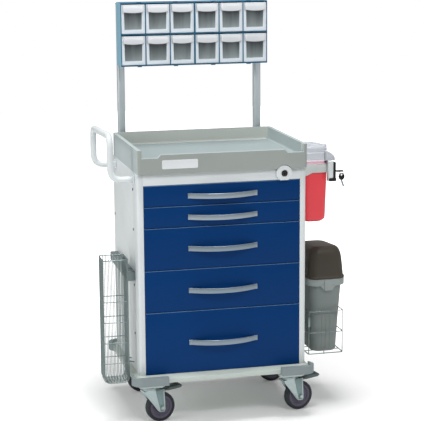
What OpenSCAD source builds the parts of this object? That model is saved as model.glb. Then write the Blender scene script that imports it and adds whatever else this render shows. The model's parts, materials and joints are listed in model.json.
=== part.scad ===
// Anesthesia cart: a five-drawer steel cabinet on four swivel casters, with a moulded worktop,
// a raised rack of tilt-out bins, and a push handle, wire basket, sharps container and waste bin
// on its sides. Millimetres. X to the right, Y from the front to the back, Z up.
// The origin is on the floor, under the middle of the cabinet.

/* [Cabinet] */
// Width over the side panels
cab_w = 706; // [680:1:740]
// Depth from the drawer fronts to the back panel
cab_d = 532; // [520:1:600]
// Height of the drawer stack's floor above the ground
stack_z = 220; // [215:1:250]
// Height of one drawer unit
unit_h = 87.5; // [84:0.5:100]
// Height of the header strip over the drawers
header_h = 49; // [47:1:70]
// Thickness of the cabinet's sheet steel
sheet = 1.5; // [1:0.1:2]
// Width of each front corner post
post_w = 25.7; // [24:0.1:32]
// Outer radius of the front corner posts
post_r = 12; // [6:1:14]
// Radius of the accessory holes in the side panels
hole_r = 3.3; // [2.5:0.1:4]
// Height of the base frame's upright edge
base_edge_h = 18; // [14:1:20]
// How far the base frame stands out all round
base_out = 20; // [10:1:26]

/* [Drawers] */
// Gap around each drawer front
front_gap = 1.5; // [1:0.1:3]
// Thickness of a drawer front
front_t = 18; // [14:1:22]
// Clearance between the drawer boxes and the back panel
box_gap = 53; // [50:1:90]
// Wall of a drawer box
box_wall = 1.5; // [1:0.1:3]
// Thickness of a slide, rail and runner together
slide_t = 12.7; // [11:0.1:15]
// Height of a slide's rail
rail_h = 36; // [28:1:38]
// Running clearance between a runner and its rail
slide_gap = 0.3; // [0.2:0.05:0.6]
// Length of a drawer handle
handle_w = 290; // [200:1:340]
// How far a handle bows out
handle_bow = 42; // [34:1:50]
// Height of the handle's strap
handle_h = 24; // [16:1:28]
// Thickness of the handle's strap
handle_t = 5; // [4:0.5:8]

/* [Worktop] */
// Height of the tray from its skirt to its rim
tray_h = 97; // [90:1:110]
// Overhang of the tray in front of the drawers
tray_out = 20; // [12:1:30]
// Thickness of the tray's raised rim
rim_t = 16; // [10:1:22]
// Wall of the tray's skirt and floor
tray_wall = 4; // [3:0.5:6]
// Depth of the tray below its rim
tray_deep = 54; // [45:1:60]
// Drop of the front lip's ends below the rim
lip_drop = 33; // [25:1:40]
// Rise of the front lip's middle over its ends
lip_rise = 13; // [0:1:18]

/* [Lock] */
// Distance of the lock from the middle of the cart
lock_x = 256; // [230:1:290]
// Height of the lock above the top drawer
lock_up = 28.5; // [24:0.5:30]
// Radius of the round boss around the lock
boss_r = 33; // [24:1:34]
// Radius of the turning lock plug
plug_r = 6; // [4:0.5:7]
// Radial clearance of pins and shafts in their bores
run_gap = 0.05; // [0.02:0.01:0.1]
// Crank radius of the lock plug's drive pin
crank_r = 8; // [6:0.5:9]

/* [Casters] */
// Radius of a caster wheel
wheel_r = 62.5; // [50:0.5:63]
// Width of the tyre
wheel_w = 32; // [24:1:36]
// Distance of the axle from the swivel
trail = 45; // [35:1:50]
// Height of a caster up to its top plate
caster_h = 164; // [160:1:176]
// Distance of the swivels from the side panels
caster_in_x = 53; // [50:1:70]
// Distance of the swivels from the front and back
caster_in_y = 60; // [56:1:80]
// Angle of the trail from the width direction
caster_turn = 13; // [0:1:40]
// Radius of an axle
axle_r = 4; // [3:0.5:6]
// Radius of the rounded corner bumpers
bumper_r = 45; // [38:1:50]
// Height of the bumpers
bumper_h = 34; // [31:1:44]

/* [Bin rack] */
// Width of the rack of tilt-out bins
rack_w = 642; // [560:1:680]
// Height of the rack
rack_h = 268; // [240:1:300]
// Depth of the rack
rack_d = 99; // [92:1:110]
// Height of the rack's underside above the ground
rack_z = 1440; // [1300:1:1500]
// Wall of the rack's housings
rack_wall = 3; // [2:0.5:4]
// Outer width of the two posts
rack_post = 30; // [25:1:36]
// Gap between the cabinet's back and the posts
rack_gap = 38; // [30:1:50]
// Height of the posts' lower ends
post_z = 760; // [700:1:850]
// Radius of the rods that the bins turn on
rod_r = 2.5; // [2:0.5:3]
// Side clearance of a bin in its cell
bin_gap = 0.75; // [0.5:0.05:1.5]
// Wall of a bin
bin_wall = 2.5; // [1.5:0.5:3]

/* [Side equipment] */
// Outer radius of the push handle's tube
grip_r = 12.5; // [10:0.5:16]
// Wall of the push handle's tube
grip_wall = 2; // [1.5:0.1:3]
// How far the push handle stands off the side panel
grip_out = 95; // [85:1:120]
// Height of the push handle's legs
grip_z = 1027; // [990:1:1030]
// Height of the grip over the legs, at the front
grip_rise = 178; // [150:1:220]
// Fall of the grip from front to back
grip_fall = 27; // [0:1:35]
// Distance of the side fixings from the front and back of the cabinet
side_in = 60; // [56:1:76]
// Depth and height of the accessory rail
side_rail = [32, 36]; // [30:1:40]
// Height of the accessory rail's underside
side_rail_z = 608; // [560:1:640]
// Wire thickness of the basket
wire = 3; // [2:0.5:4]
// Width, length and height of the wire basket
basket = [104, 107, 522]; // [90:1:560]
// Height of the basket's bottom
basket_z = 181; // [175:1:200]
// Steps between the basket's rings over its height
basket_steps = 6; // [4:1:8]
// Pitch of the basket's upright wires
basket_pitch = 13; // [10:1:20]
// Width and length of the sharps container at its rim
sharps = [114, 270]; // [100:1:300]
// Height of the sharps container's bottom
sharps_z = 805; // [780:1:830]
// Height of the sharps container's body
sharps_h = 245; // [220:1:260]
// Height of the sharps container's lid
lid_h = 74; // [60:1:80]
// Width and length of the waste bin at its collar
waste = [166, 290]; // [150:1:300]
// Clear space between the cabinet and the waste bin
waste_off = 49; // [10:1:60]
// Height of the waste bin's bottom
waste_z = 228; // [226:1:260]
// Height of the waste bin without its hood
waste_h = 322; // [290:1:340]
// Height of the waste bin's hood
hood_h = 128; // [118:1:150]
// Wall of the plastic containers
shell_wall = 2.5; // [2:0.5:3.5]
// Wire thickness of the waste bin's holder
holder_wire = 5; // [4:0.5:6]

/* [Hidden] */
$fn = 48;

// Height of each drawer in units, from the top drawer down
drawer_units = [1, 1, 2, 2, 3];
drawers = len(drawer_units);
bin_columns = 3;
bin_rows = 2;
bin_modules = 2;

// Extra length of a cutting body past the face that it opens
past = 1;
// Distance between solids that lie against each other but stay apart
seam = 0.2;

half_w = cab_w / 2;
front_y = -cab_d / 2;
back_y = cab_d / 2;
total_units = units_below(0);
header_z = stack_z + unit_h * total_units;
skirt_z = header_z + header_h;
open_w = half_w - post_w;
return_d = front_t;
ledge_h = 12;
base_z = stack_z - base_edge_h - ledge_h;
base_slope_z = base_z + base_edge_h;
base_wall = 2;
base_half_x = half_w + base_out;
base_half_y = cab_d / 2 + base_out + 4;
seat_w = 104;

upright_w = 30;
upright_front_y = front_y + 66;
upright_back_y = back_y - 71;
panel_in = half_w - sheet;

box_half = open_w - slide_t - slide_gap;
box_front_y = front_y + front_t;
box_d = back_y - 2 * sheet - box_gap - box_front_y;
box_low = 10;
box_short = 29.5;
rail_low = 14;
rail_start_y = box_front_y + 8;
rail_len = upright_back_y + upright_w - rail_start_y;
catch_low = rail_low + rail_h + 8;
catch_h = 9;
hook_h = 6;
guide_up = 80;
guide_down = 20;
guide_h = 14;
channel_w = 30;
channel_half = cab_d / 2 - 66;

tray_front_y = front_y - tray_out;
tray_d = back_y - tray_front_y;
tray_mid_y = (tray_front_y + back_y) / 2;
rim_z = skirt_z + tray_h;
floor_z = rim_z - tray_deep;
lip_end_z = rim_z - lip_drop;
lip_mid_z = lip_end_z + lip_rise;
lip_half = half_w - 96;
lip_ramp = 12;

lock_z = header_z + lock_up;
boss_t = tray_out - 3;
barrel_r = plug_r + 3.5;
barrel_end_y = front_y + front_t + 26;
pin_r = 2.5;
pin_start_angle = -45;
pin_x = lock_x + crank_r * cos(pin_start_angle);
pin_z = lock_z + crank_r * sin(pin_start_angle);
cam_t = 4;
bar_t = 6;
bar_y = barrel_end_y + cam_t + 1;
bar_x = open_w + 4;
bar_w = 12;
arm_half_h = 9;

caster_x = half_w - caster_in_x;
caster_y = cab_d / 2 - caster_in_y;
plate_t = 4;
race_h = 8;
crown_t = 6;
crown_z = caster_h - plate_t - race_h - 12 - crown_t;
crown_back = 34;
crown_front = trail - 5;
leg_t = 3.5;
leg_in = wheel_w / 2 + 3;
kingpin_r = 6;
pedal_pivot = [trail + 5, crown_z + 1];
pedal_pin_r = 3;
pedal_reach = 138;
tread_w = 44;
tread_start = 23;

rack_y = back_y + rack_gap - rack_d;
module_w = rack_w / bin_modules;
cell_w = (module_w - (bin_columns + 1) * rack_wall) / bin_columns;
cell_h = (rack_h - (bin_rows + 1) * rack_wall) / bin_rows;
knuckle_r = 6;
rod_mid_y = rack_y + knuckle_r + 1;
rod_up = knuckle_r + 1.5;
bin_w = cell_w - 2 * bin_gap;
bin_top = cell_h - rod_up - 4;
bin_back = rack_d - rack_wall - (knuckle_r + 1) - 7;
bin_back_h = sqrt(pow(bin_top, 2) - pow(bin_back, 2)) - 1;
bin_toe = 9;

post_x = rack_w / 2 - 17;
post_y = back_y + rack_gap;

side_y = cab_d / 2 - side_in;
side_pitch = 2 * side_y;
handle_x = -half_w - grip_out;
grip_bend = 60;
grip_corner = 36;
sleeve_r = grip_r + 1;
sleeve_lap = 5;
rail_out_x = half_w + side_rail[0];
basket_in_x = -rail_out_x;
basket_out_x = basket_in_x - basket[0];
basket_front_y = -side_y - 16;
basket_back_y = basket_front_y + basket[1];
basket_step = (basket[2] - wire) / basket_steps;

sharps_x = half_w + 8;
sharps_front_y = front_y + 75;
sharps_mid = [sharps_x + sharps[0] / 2, sharps_front_y + sharps[1] / 2];
sharps_top_z = sharps_z + sharps_h;
sharps_rim_h = 6;
sharps_rim_out = 4;
band_h = 34;
band_t = 2.5;
band_gap = 2;
lid_z = sharps_top_z + sharps_rim_h + slide_gap;
hinge_y = sharps_front_y + sharps[1] + 11;
hinge_z = lid_z + 2;
hinge_pin_r = 2.5;
lug_r = 4.5;
lug_w = 12;
latch_x = sharps_x + sharps[0] + band_gap + band_t;
latch_y = sharps_front_y - 8;
key_z = sharps_top_z - 30;
key_r = 4;

waste_x = half_w + waste_off;
waste_mid = [waste_x + waste[0] / 2, front_y + 100 + waste[1] / 2];
waste_top_z = waste_z + waste_h;
collar_h = 30;
collar_out = 12;
holder_in_x = waste_x - 4;
holder_out_x = waste_x + waste[0] - collar_out;
holder_half_y = waste[1] / 2 - 2;
holder_z = waste_z - holder_wire - seam;
holder_h = 190;
hood_z = waste_top_z + seam;

// Heights of the accessory holes below the top one, on both sides
hole_levels = [0, 165, 397, 602];
hole_top_z = skirt_z - 77;
hole_y = front_y + 85;

// Units of height in the drawers from number first down, counted from 0
function units_below(first) =
    first >= len(drawer_units) ? 0 : drawer_units[first] + units_below(first + 1);
function drawer_z(index) = stack_z + unit_h * units_below(index + 1);
function drawer_h(index) = unit_h * drawer_units[index];
function cell_x(column) =
    let(group = floor(column / bin_columns), place = column % bin_columns)
    (group - (bin_modules - 1) / 2) * module_w
    + (place - (bin_columns - 1) / 2) * (cell_w + rack_wall);
function cell_z(row) = rack_z + rack_wall + row * (cell_h + rack_wall);

module rounded(size, r) {
    square([size[0] - 2 * r, size[1]], center = true);
    square([size[0], size[1] - 2 * r], center = true);
    for (sx = [-1, 1], sy = [-1, 1])
        translate([sx * (size[0] / 2 - r), sy * (size[1] / 2 - r)])
            circle(r);
}

module slab(size, r, z, h = 1, mid = [0, 0]) {
    translate([mid[0], mid[1], z])
        linear_extrude(h)
            rounded(size, r, $fn = 32);
}

// A cylinder along X from x0 to x1
module rod_x(x0, x1, r) {
    translate([x0, 0, 0])
        rotate([0, 90, 0])
            cylinder(h = x1 - x0, r = r);
}

// A cylinder along Y from y0 to y1
module rod_y(y0, y1, r) {
    translate([0, y0, 0])
        rotate([-90, 0, 0])
            cylinder(h = y1 - y0, r = r);
}

// Plan of the right side panel, with its rounded front post and rear flange
module side_plan() {
    difference() {
        side_outline(0);
        side_outline(sheet);
        translate([open_w - past, front_y + return_d])
            square([sheet + 2 * past, cab_d - return_d - sheet]);
    }
}

module side_outline(inset) {
    r = post_r - inset;
    x0 = open_w + inset;
    y0 = front_y + inset;
    translate([half_w - post_r, front_y + post_r])
        circle(r);
    translate([x0, y0])
        square([half_w - post_r - x0, cab_d - 2 * inset]);
    translate([x0, y0 + r])
        square([post_w - 2 * inset, cab_d - 2 * inset - r]);
}

module upright(y0, h) {
    translate([open_w, y0, stack_z])
        difference() {
            cube([post_w - sheet, upright_w, h]);
            translate([sheet, sheet, -past])
                cube([post_w - 3 * sheet, upright_w - 2 * sheet, h + 2 * past]);
        }
}

module side_panel(guides) {
    color("#dfe4e4")
        difference() {
            union() {
                translate([0, 0, stack_z])
                    linear_extrude(skirt_z - stack_z)
                        side_plan();
                upright(upright_front_y, header_z - stack_z);
                upright(upright_back_y, header_z - stack_z);
                if (guides)
                    for (z = [drawer_z(drawers - 1) + guide_up, drawer_z(0) - guide_down])
                        translate([bar_x + bar_w + slide_gap, bar_y - 3, z])
                            cube([panel_in - bar_x - bar_w - slide_gap, bar_t + 6, guide_h]);
            }
            for (level = hole_levels)
                translate([0, hole_y, hole_top_z - level])
                    rod_x(panel_in - 2 * sheet, half_w + past, hole_r);
        }
}

module side_panel_right() {
    side_panel(true);
}

module side_panel_left() {
    mirror([1, 0, 0])
        side_panel(false);
}

module back_panel() {
    color("#dfe4e4")
        translate([-panel_in + seam, back_y - 2 * sheet, stack_z])
            cube([2 * panel_in - 2 * seam, sheet, skirt_z - stack_z]);
}

// Hollow base with an upright edge, a sloping ledge and four caster seats open to the middle
module base_frame() {
    wall = 3;
    color("#dde2e3")
        difference() {
            union() {
                difference() {
                    base_block(0);
                    translate([0, 0, -sheet])
                        base_block(base_wall);
                }
                for (sx = [-1, 1], sy = [-1, 1])
                    translate([sx * caster_x - seat_w / 2, sy * caster_y - seat_w / 2, caster_h])
                        cube([seat_w, seat_w, stack_z - sheet / 2 - caster_h]);
            }
            for (sx = [-1, 1], sy = [-1, 1])
                translate([
                    sx * caster_x - seat_w / 2 + wall,
                    sy * caster_y - seat_w / 2 + (sy < 0 ? wall : -past),
                    caster_h + 5
                ])
                    cube([seat_w - 2 * wall, seat_w - wall + past, stack_z - sheet - caster_h - 5]);
        }
}

module base_block(inset) {
    low = base_z - (inset > 0 ? past : 0);
    intersection() {
        translate([0, base_half_y, 0])
            rotate([90, 0, 0])
                linear_extrude(2 * base_half_y)
                    base_section(base_half_x - inset, half_w - inset / 2, low);
        translate([-base_half_x, 0, 0])
            rotate([90, 0, 90])
                linear_extrude(2 * base_half_x)
                    base_section(base_half_y - inset, cab_d / 2 - inset / 2, low);
    }
}

module base_section(outer, inner, low) {
    polygon([
        [-outer, low], [outer, low], [outer, base_slope_z], [inner, stack_z],
        [-inner, stack_z], [-outer, base_slope_z]
    ]);
}

// Header rail, deck, rear rail and the channels that carry the worktop
module top_frame() {
    deck_z = skirt_z - sheet;
    rib_x = half_w - 90;
    color("#dfe4e4")
        difference() {
            union() {
                translate([-open_w, front_y, header_z])
                    cube([2 * open_w, front_t, header_h]);
                translate([-panel_in + seam, box_front_y, deck_z])
                    cube([2 * panel_in - 2 * seam, cab_d - front_t - 2 * sheet - seam, sheet]);
                translate([-open_w + past, back_y - 20, header_z])
                    cube([2 * open_w - 2 * past, 20 - 2 * sheet - seam, header_h]);
                for (sx = [-1, 1])
                    translate([sx * rib_x - channel_w / 2, -channel_half, skirt_z - sheet])
                        cube([channel_w, 2 * channel_half, floor_z - tray_wall - skirt_z + sheet]);
            }
            translate([-open_w + sheet, front_y + sheet, header_z + sheet])
                cube([2 * open_w - 2 * sheet, front_t - 2 * sheet, header_h - 2 * sheet]);
            translate([-open_w, back_y - 20 + sheet, header_z - past])
                cube([2 * open_w, 20 - 4 * sheet - seam, header_h - sheet + past]);
            for (sx = [-1, 1])
                translate([sx * rib_x - channel_w / 2 + sheet, -channel_half - past, skirt_z])
                    cube([
                        channel_w - 2 * sheet,
                        2 * channel_half + 2 * past,
                        floor_z - tray_wall - skirt_z - sheet
                    ]);
            translate([lock_x, 0, lock_z])
                rod_y(front_y - past, box_front_y + past, barrel_r + run_gap);
        }
}

module worktop_tray() {
    color("#a7afa9")
        difference() {
            translate([0, tray_mid_y, skirt_z])
                linear_extrude(tray_h)
                    rounded([cab_w, tray_d], 14);
            translate([0, tray_mid_y, floor_z])
                linear_extrude(tray_deep + past)
                    rounded([cab_w - 2 * rim_t, tray_d - 2 * rim_t], 12);
            translate([0, tray_mid_y, skirt_z - past])
                linear_extrude(floor_z - tray_wall - skirt_z + past)
                    rounded([cab_w - 2 * tray_wall, tray_d - 2 * tray_wall], 10);
            translate([0, tray_front_y + rim_t + past, 0])
                rotate([90, 0, 0])
                    linear_extrude(rim_t + 2 * past)
                        lip_cut();
            translate([lock_x, 0, lock_z])
                rod_y(tray_front_y - past, front_y, boss_r + 2);
        }
}

// Outline above the front lip, whose middle is raised
module lip_cut() {
    side = half_w - rim_t;
    polygon([
        [-side, rim_z + past], [-side, lip_end_z], [-lip_half - lip_ramp, lip_end_z],
        [-lip_half, lip_mid_z], [lip_half, lip_mid_z], [lip_half + lip_ramp, lip_end_z],
        [side, lip_end_z], [side, rim_z + past]
    ]);
}

// Rounded plastic bumpers that wrap the corners of the base
module corner_bumpers() {
    color("#9fa6a6")
        for (side = [0, 1], end = [0, 1])
            mirror([side, 0, 0])
                mirror([0, end, 0])
                    translate([0, 0, stack_z - bumper_h])
                        bumper();
}

module bumper() {
    mid_x = half_w - 10;
    mid_y = cab_d / 2 + 4;
    arm = 103;
    skirt = 24;
    reach = 70;
    difference() {
        linear_extrude(bumper_h)
            union() {
                translate([mid_x, mid_y])
                    circle(bumper_r);
                translate([mid_x - arm, mid_y])
                    square([arm, bumper_r]);
            }
        translate([0, 0, base_z - stack_z + bumper_h])
            linear_extrude(bumper_h)
                square([base_half_x + seam, base_half_y + seam]);
        translate([mid_x - reach, mid_y - reach, -past])
            cube([reach + bumper_r - skirt, reach + bumper_r - skirt, bumper_h + 2 * past]);
    }
}

// Bent tube with a sleeve over its sloping grip
module push_handle() {
    color("#eef0f0")
        difference() {
            union() {
                handle_tube(grip_r, sleeve_r, 0);
                for (sy = [-1, 1])
                    translate([0, sy * side_y, grip_z])
                        rod_x(-half_w - 5, -half_w, grip_r + 9);
            }
            handle_tube(grip_r - grip_wall, sleeve_r - 2 * grip_wall, past);
        }
}

module handle_tube(r, grip, extra) {
    mid_z = grip_z + grip_rise - grip_fall / 2;
    run = side_pitch - 2 * grip_corner;
    slope = atan(grip_fall / run);
    for (sy = [-1, 1])
        translate([0, sy * side_y, grip_z])
            rod_x(handle_x + grip_bend, -half_w + extra, r);
    for (sy = [-1, 1])
        translate([handle_x + grip_bend, sy * side_y, grip_z + grip_bend])
            rotate([90, 0, 0])
                rotate([0, 0, 180])
                    quarter_bend(grip_bend, r);
    for (end = [0, 1])
        mirror([0, end, 0])
            translate([handle_x, -side_y, grip_z])
                handle_upright(r, grip_rise - end * grip_fall);
    translate([handle_x, 0, mid_z])
        rotate([-slope, 0, 0])
            rod_y(-run / 2 - sleeve_lap, run / 2 + sleeve_lap, grip);
}

// One upright with the bend at its top
module handle_upright(r, rise) {
    translate([0, 0, grip_bend])
        cylinder(h = rise - grip_corner - grip_bend, r = r);
    translate([0, grip_corner, rise - grip_corner])
        rotate([90, 0, 90])
            rotate([0, 0, 90])
                quarter_bend(grip_corner, r);
}

module quarter_bend(bend_r, r) {
    rotate_extrude(angle = 90)
        translate([bend_r, 0])
            circle(r);
}

// Barrel of the cart's lock, on a round boss that ends level with the top drawer
module lock_barrel() {
    color("#c9cdcd")
        translate([lock_x, 0, lock_z])
            difference() {
                union() {
                    rod_y(front_y - boss_t, front_y, boss_r);
                    rod_y(front_y - past, barrel_end_y, barrel_r);
                }
                rod_y(front_y - boss_t - past, barrel_end_y + past, plug_r + run_gap);
                translate([-boss_r, front_y - boss_t - past, -lock_up - boss_r])
                    cube([2 * boss_r, boss_t + past, boss_r]);
            }
}

module lock_plug() {
    color("#2b2b2d")
        difference() {
            union() {
                translate([lock_x, 0, lock_z]) {
                    rod_y(front_y - boss_t - 2, barrel_end_y + seam + cam_t, plug_r);
                    rod_y(barrel_end_y + seam, barrel_end_y + seam + cam_t, crank_r + pin_r + 2);
                    rod_y(front_y - boss_t - 3, front_y - boss_t - seam, plug_r + 7);
                }
                translate([pin_x, 0, pin_z])
                    rod_y(barrel_end_y + 1, bar_y + bar_t + 1, pin_r);
            }
            translate([lock_x - 1, front_y - boss_t - 3 - past, lock_z - 4])
                cube([2, 9, 8]);
        }
}

// Vertical bar that the lock lifts, with one hook in front of each drawer's catch
module lock_bar() {
    low_z = drawer_z(drawers - 1) + catch_low - hook_h - 2;
    top_z = pin_z + arm_half_h;
    window = [crank_r - crank_r * cos(pin_start_angle) + 2 * pin_r + 2, 2 * pin_r + 1.4];
    color("#b9bec0")
        difference() {
            union() {
                translate([bar_x, bar_y, low_z])
                    cube([bar_w, bar_t, top_z - low_z]);
                translate([lock_x - 14, bar_y, pin_z - arm_half_h])
                    cube([bar_x - lock_x + 14, bar_t, 2 * arm_half_h]);
                for (i = [0 : drawers - 1])
                    translate([box_half + 3, bar_y, drawer_z(i) + catch_low - hook_h - 1])
                        cube([bar_x - box_half - 2, bar_t, hook_h]);
            }
            translate([pin_x - pin_r - 1, bar_y - past, pin_z - window[1] / 2])
                cube([window[0], bar_t + 2 * past, window[1]]);
        }
}

// The cabinet's half of every slide: an open channel on each side of each drawer
module slide_rails() {
    color("#aeb4b6")
        for (i = [0 : drawers - 1], side = [0, 1])
            mirror([side, 0, 0])
                translate([open_w - slide_t, rail_start_y, drawer_z(i) + rail_low])
                    difference() {
                        cube([slide_t, rail_len, rail_h]);
                        translate([-past, -past, sheet])
                            cube([slide_t - sheet + past, rail_len + 2 * past, rail_h - 2 * sheet]);
                    }
}

module drawer_box(index) {
    z = drawer_z(index) + box_low;
    h = drawer_h(index) - box_short;
    runner_z = drawer_z(index) + rail_low + sheet + slide_gap;
    runner_h = rail_h - 2 * sheet - 2 * slide_gap;
    color("#c6cbcd") {
        difference() {
            translate([-box_half, box_front_y, z])
                cube([2 * box_half, box_d, h]);
            translate([-box_half + box_wall, box_front_y + box_wall, z + box_wall])
                cube([2 * (box_half - box_wall), box_d - 2 * box_wall, h]);
        }
        for (side = [0, 1])
            mirror([side, 0, 0])
                translate([box_half - 0.01, rail_start_y, runner_z])
                    cube([slide_t - sheet, min(rail_len, box_d - 8) - 10, runner_h]);
        translate([box_half - 0.01, bar_y + bar_t + 1.5, drawer_z(index) + catch_low])
            cube([9, 3, catch_h]);
    }
}

// Folded steel front with two stiffeners that the box is fastened to
module drawer_front(index) {
    w = 2 * (open_w - front_gap);
    h = drawer_h(index) - 2 * front_gap;
    rib = 40;
    color("#1b447c") {
        translate([-w / 2, front_y, drawer_z(index) + front_gap])
            difference() {
                cube([w, front_t, h]);
                translate([sheet, sheet, sheet])
                    cube([w - 2 * sheet, front_t, h - 2 * sheet]);
            }
        for (sx = [-1, 1])
            translate([sx * 190 - rib / 2, front_y + sheet / 2, drawer_z(index) + 12])
                cube([rib, front_t - sheet / 2, drawer_h(index) - 36]);
    }
}

// Bowed strap with its two ends flat on the drawer front
module drawer_handle(index) {
    reach = handle_w / 2;
    arc_r = (pow(reach, 2) + pow(handle_bow, 2)) / (2 * handle_bow);
    z = drawer_z(index) + drawer_h(index) / 2 - handle_h / 2;
    foot = 16;
    color("#b4babb")
        difference() {
            union() {
                translate([0, front_y - handle_bow + arc_r, z])
                    difference() {
                        cylinder(h = handle_h, r = arc_r, $fn = 96);
                        translate([0, 0, -past])
                            cylinder(h = handle_h + 2 * past, r = arc_r - handle_t, $fn = 96);
                    }
                for (sx = [-1, 1])
                    translate([sx * (reach - foot / 2) - foot / 2, front_y - handle_t, z])
                        cube([foot, handle_t, handle_h]);
            }
            translate([-2 * arc_r, front_y, z - past])
                cube([4 * arc_r, 3 * arc_r, handle_h + 2 * past]);
        }
}

module bin_rack() {
    post_h = rack_z + rack_h - 8 - post_z;
    color("#2f6d86")
        for (group = [0 : bin_modules - 1])
            bin_housing(group);
    color("#b7c0c3")
        for (sx = [-1, 1])
            translate([sx * post_x - rack_post / 2, post_y + seam, post_z])
                difference() {
                    cube([rack_post, rack_post, post_h]);
                    translate([2, 2, -past])
                        cube([rack_post - 4, rack_post - 4, post_h]);
                }
}

// One housing with its cells, and the rods that its bins turn on
module bin_housing(group) {
    x0 = (group - bin_modules / 2) * module_w + seam / 2;
    difference() {
        translate([x0, rack_y, rack_z])
            cube([module_w - seam, rack_d, rack_h]);
        for (place = [0 : bin_columns - 1], row = [0 : bin_rows - 1])
            translate([
                cell_x(group * bin_columns + place) - cell_w / 2,
                rack_y - past,
                cell_z(row)
            ])
                cube([cell_w, rack_d - rack_wall + past, cell_h]);
    }
    for (row = [0 : bin_rows - 1])
        translate([0, rod_mid_y, cell_z(row) + rod_up])
            rod_x(x0 + 1, x0 + module_w - seam - 1, rod_r);
}

// Tilt-out bin: number 1 is at the top left, number 12 at the bottom right
module tilt_bin(number) {
    columns = bin_modules * bin_columns;
    column = (number - 1) % columns;
    row = bin_rows - 1 - floor((number - 1) / columns);
    color("#e6eaee")
        translate([cell_x(column) + bin_w / 2, rod_mid_y, cell_z(row) + rod_up])
            rotate([90, 0, -90])
                bin_shape();
}

// Side view of a bin, with the rod at the origin and the front towards +X
module bin_outline() {
    circle(knuckle_r);
    polygon([
        [knuckle_r, 0], [knuckle_r, bin_top], [-14, bin_top], [-bin_back, bin_back_h],
        [-bin_back, -knuckle_r], [0, -knuckle_r]
    ]);
}

module bin_shape() {
    front = knuckle_r - bin_wall;
    difference() {
        union() {
            linear_extrude(bin_w)
                bin_outline();
            translate([0, 0, 4])
                linear_extrude(bin_w - 8)
                    polygon([
                        [front, bin_top], [knuckle_r + 4, bin_top], [knuckle_r + 12, bin_top - 33],
                        [knuckle_r + 9.5, bin_top - 34], [knuckle_r + 2, bin_top - 8],
                        [front, bin_top - 8]
                    ]);
        }
        translate([0, 0, bin_wall])
            linear_extrude(bin_w - 2 * bin_wall)
                polygon([
                    [front, bin_toe], [front, bin_top + past], [-bin_back + bin_wall, bin_top + past],
                    [-bin_back + bin_wall, -knuckle_r + bin_wall], [-bin_toe, -knuckle_r + bin_wall]
                ]);
        translate([0, 0, -past])
            cylinder(h = bin_w + 2 * past, r = rod_r + run_gap);
    }
}

module accessory_rail() {
    color("#a8b2ae")
        translate([-rail_out_x, -side_y, side_rail_z])
            difference() {
                cube([side_rail[0], side_pitch, side_rail[1]]);
                translate([2, 3, 2])
                    cube([side_rail[0] - 4, side_pitch, side_rail[1] - 4]);
            }
}

// Flat grid of square wires, drawn in a plane of the given width and height
module grid(w, h, thick, columns, levels) {
    for (i = [0 : columns])
        translate([i * (w - thick) / columns, 0])
            square([thick, h]);
    for (level = levels)
        translate([0, level])
            square([w, thick]);
}

module wire_basket() {
    levels = [for (i = [0 : basket_steps]) if (i != basket_steps - 1) i * basket_step];
    bars_x = round(basket[0] / basket_pitch);
    bars_y = round(basket[1] / basket_pitch);
    inner_w = basket[0] - 2 * wire - 2 * seam;
    inner_l = basket[1] - 2 * wire - 2 * seam;
    hook_ys = [basket_front_y + 24, basket_back_y - 24];
    color("#c3c9cb") {
        for (y = [basket_front_y, basket_back_y - wire])
            translate([basket_out_x, y + wire, basket_z])
                rotate([90, 0, 0])
                    linear_extrude(wire)
                        grid(basket[0], basket[2], wire, bars_x, levels);
        for (x = [basket_out_x, basket_in_x - wire])
            translate([x, basket_front_y + wire + seam, basket_z])
                rotate([90, 0, 90])
                    linear_extrude(wire)
                        grid(inner_l, basket[2], wire, bars_y, levels);
        translate([basket_out_x + wire + seam, basket_front_y + wire + seam, basket_z])
            linear_extrude(wire)
                grid(inner_w, inner_l, wire, bars_x,
                    [for (i = [0 : bars_y - 1]) i * inner_l / bars_y]);
        for (y = hook_ys)
            translate([basket_in_x + seam, y, side_rail_z + side_rail[1] + seam])
                cube([side_rail[0] - seam, 8, wire]);
        for (y = hook_ys)
            translate([basket_in_x + seam, y, basket_z + basket_step])
                cube([side_rail[0] - seam, wire, wire]);
    }
}

module waste_bin_holder() {
    w = holder_out_x - holder_in_x;
    levels = [0, holder_h / 2 - holder_wire / 2, holder_h - holder_wire];
    inner_w = w - 2 * holder_wire - 2 * seam;
    inner_l = 2 * holder_half_y - 2 * holder_wire - 2 * seam;
    color("#c3c9cb") {
        for (y = [-holder_half_y, holder_half_y - holder_wire])
            translate([holder_in_x, waste_mid[1] + y + holder_wire, holder_z])
                rotate([90, 0, 0])
                    linear_extrude(holder_wire)
                        grid(w, holder_h, holder_wire, 1, levels);
        for (x = [holder_in_x, holder_out_x - holder_wire])
            translate([x, waste_mid[1] - inner_l / 2, holder_z])
                rotate([90, 0, 90])
                    linear_extrude(holder_wire)
                        grid(inner_l, holder_h, holder_wire, 2, levels);
        translate([holder_in_x + holder_wire + seam, waste_mid[1] - inner_l / 2, holder_z])
            linear_extrude(holder_wire)
                grid(inner_w, inner_l, holder_wire, 1,
                    [for (i = [0 : 5]) i * (inner_l - holder_wire) / 5]);
        translate([holder_in_x - 1, waste_mid[1] - holder_half_y - 1.5, holder_z + 122])
            cube([11, holder_wire + 3, 44]);
        for (sy = [-1, 1])
            translate([half_w, waste_mid[1] + sy * 90 - 15, holder_z + holder_h / 2 - 20])
                cube([holder_in_x - half_w - seam, 30, 40]);
    }
}

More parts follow.
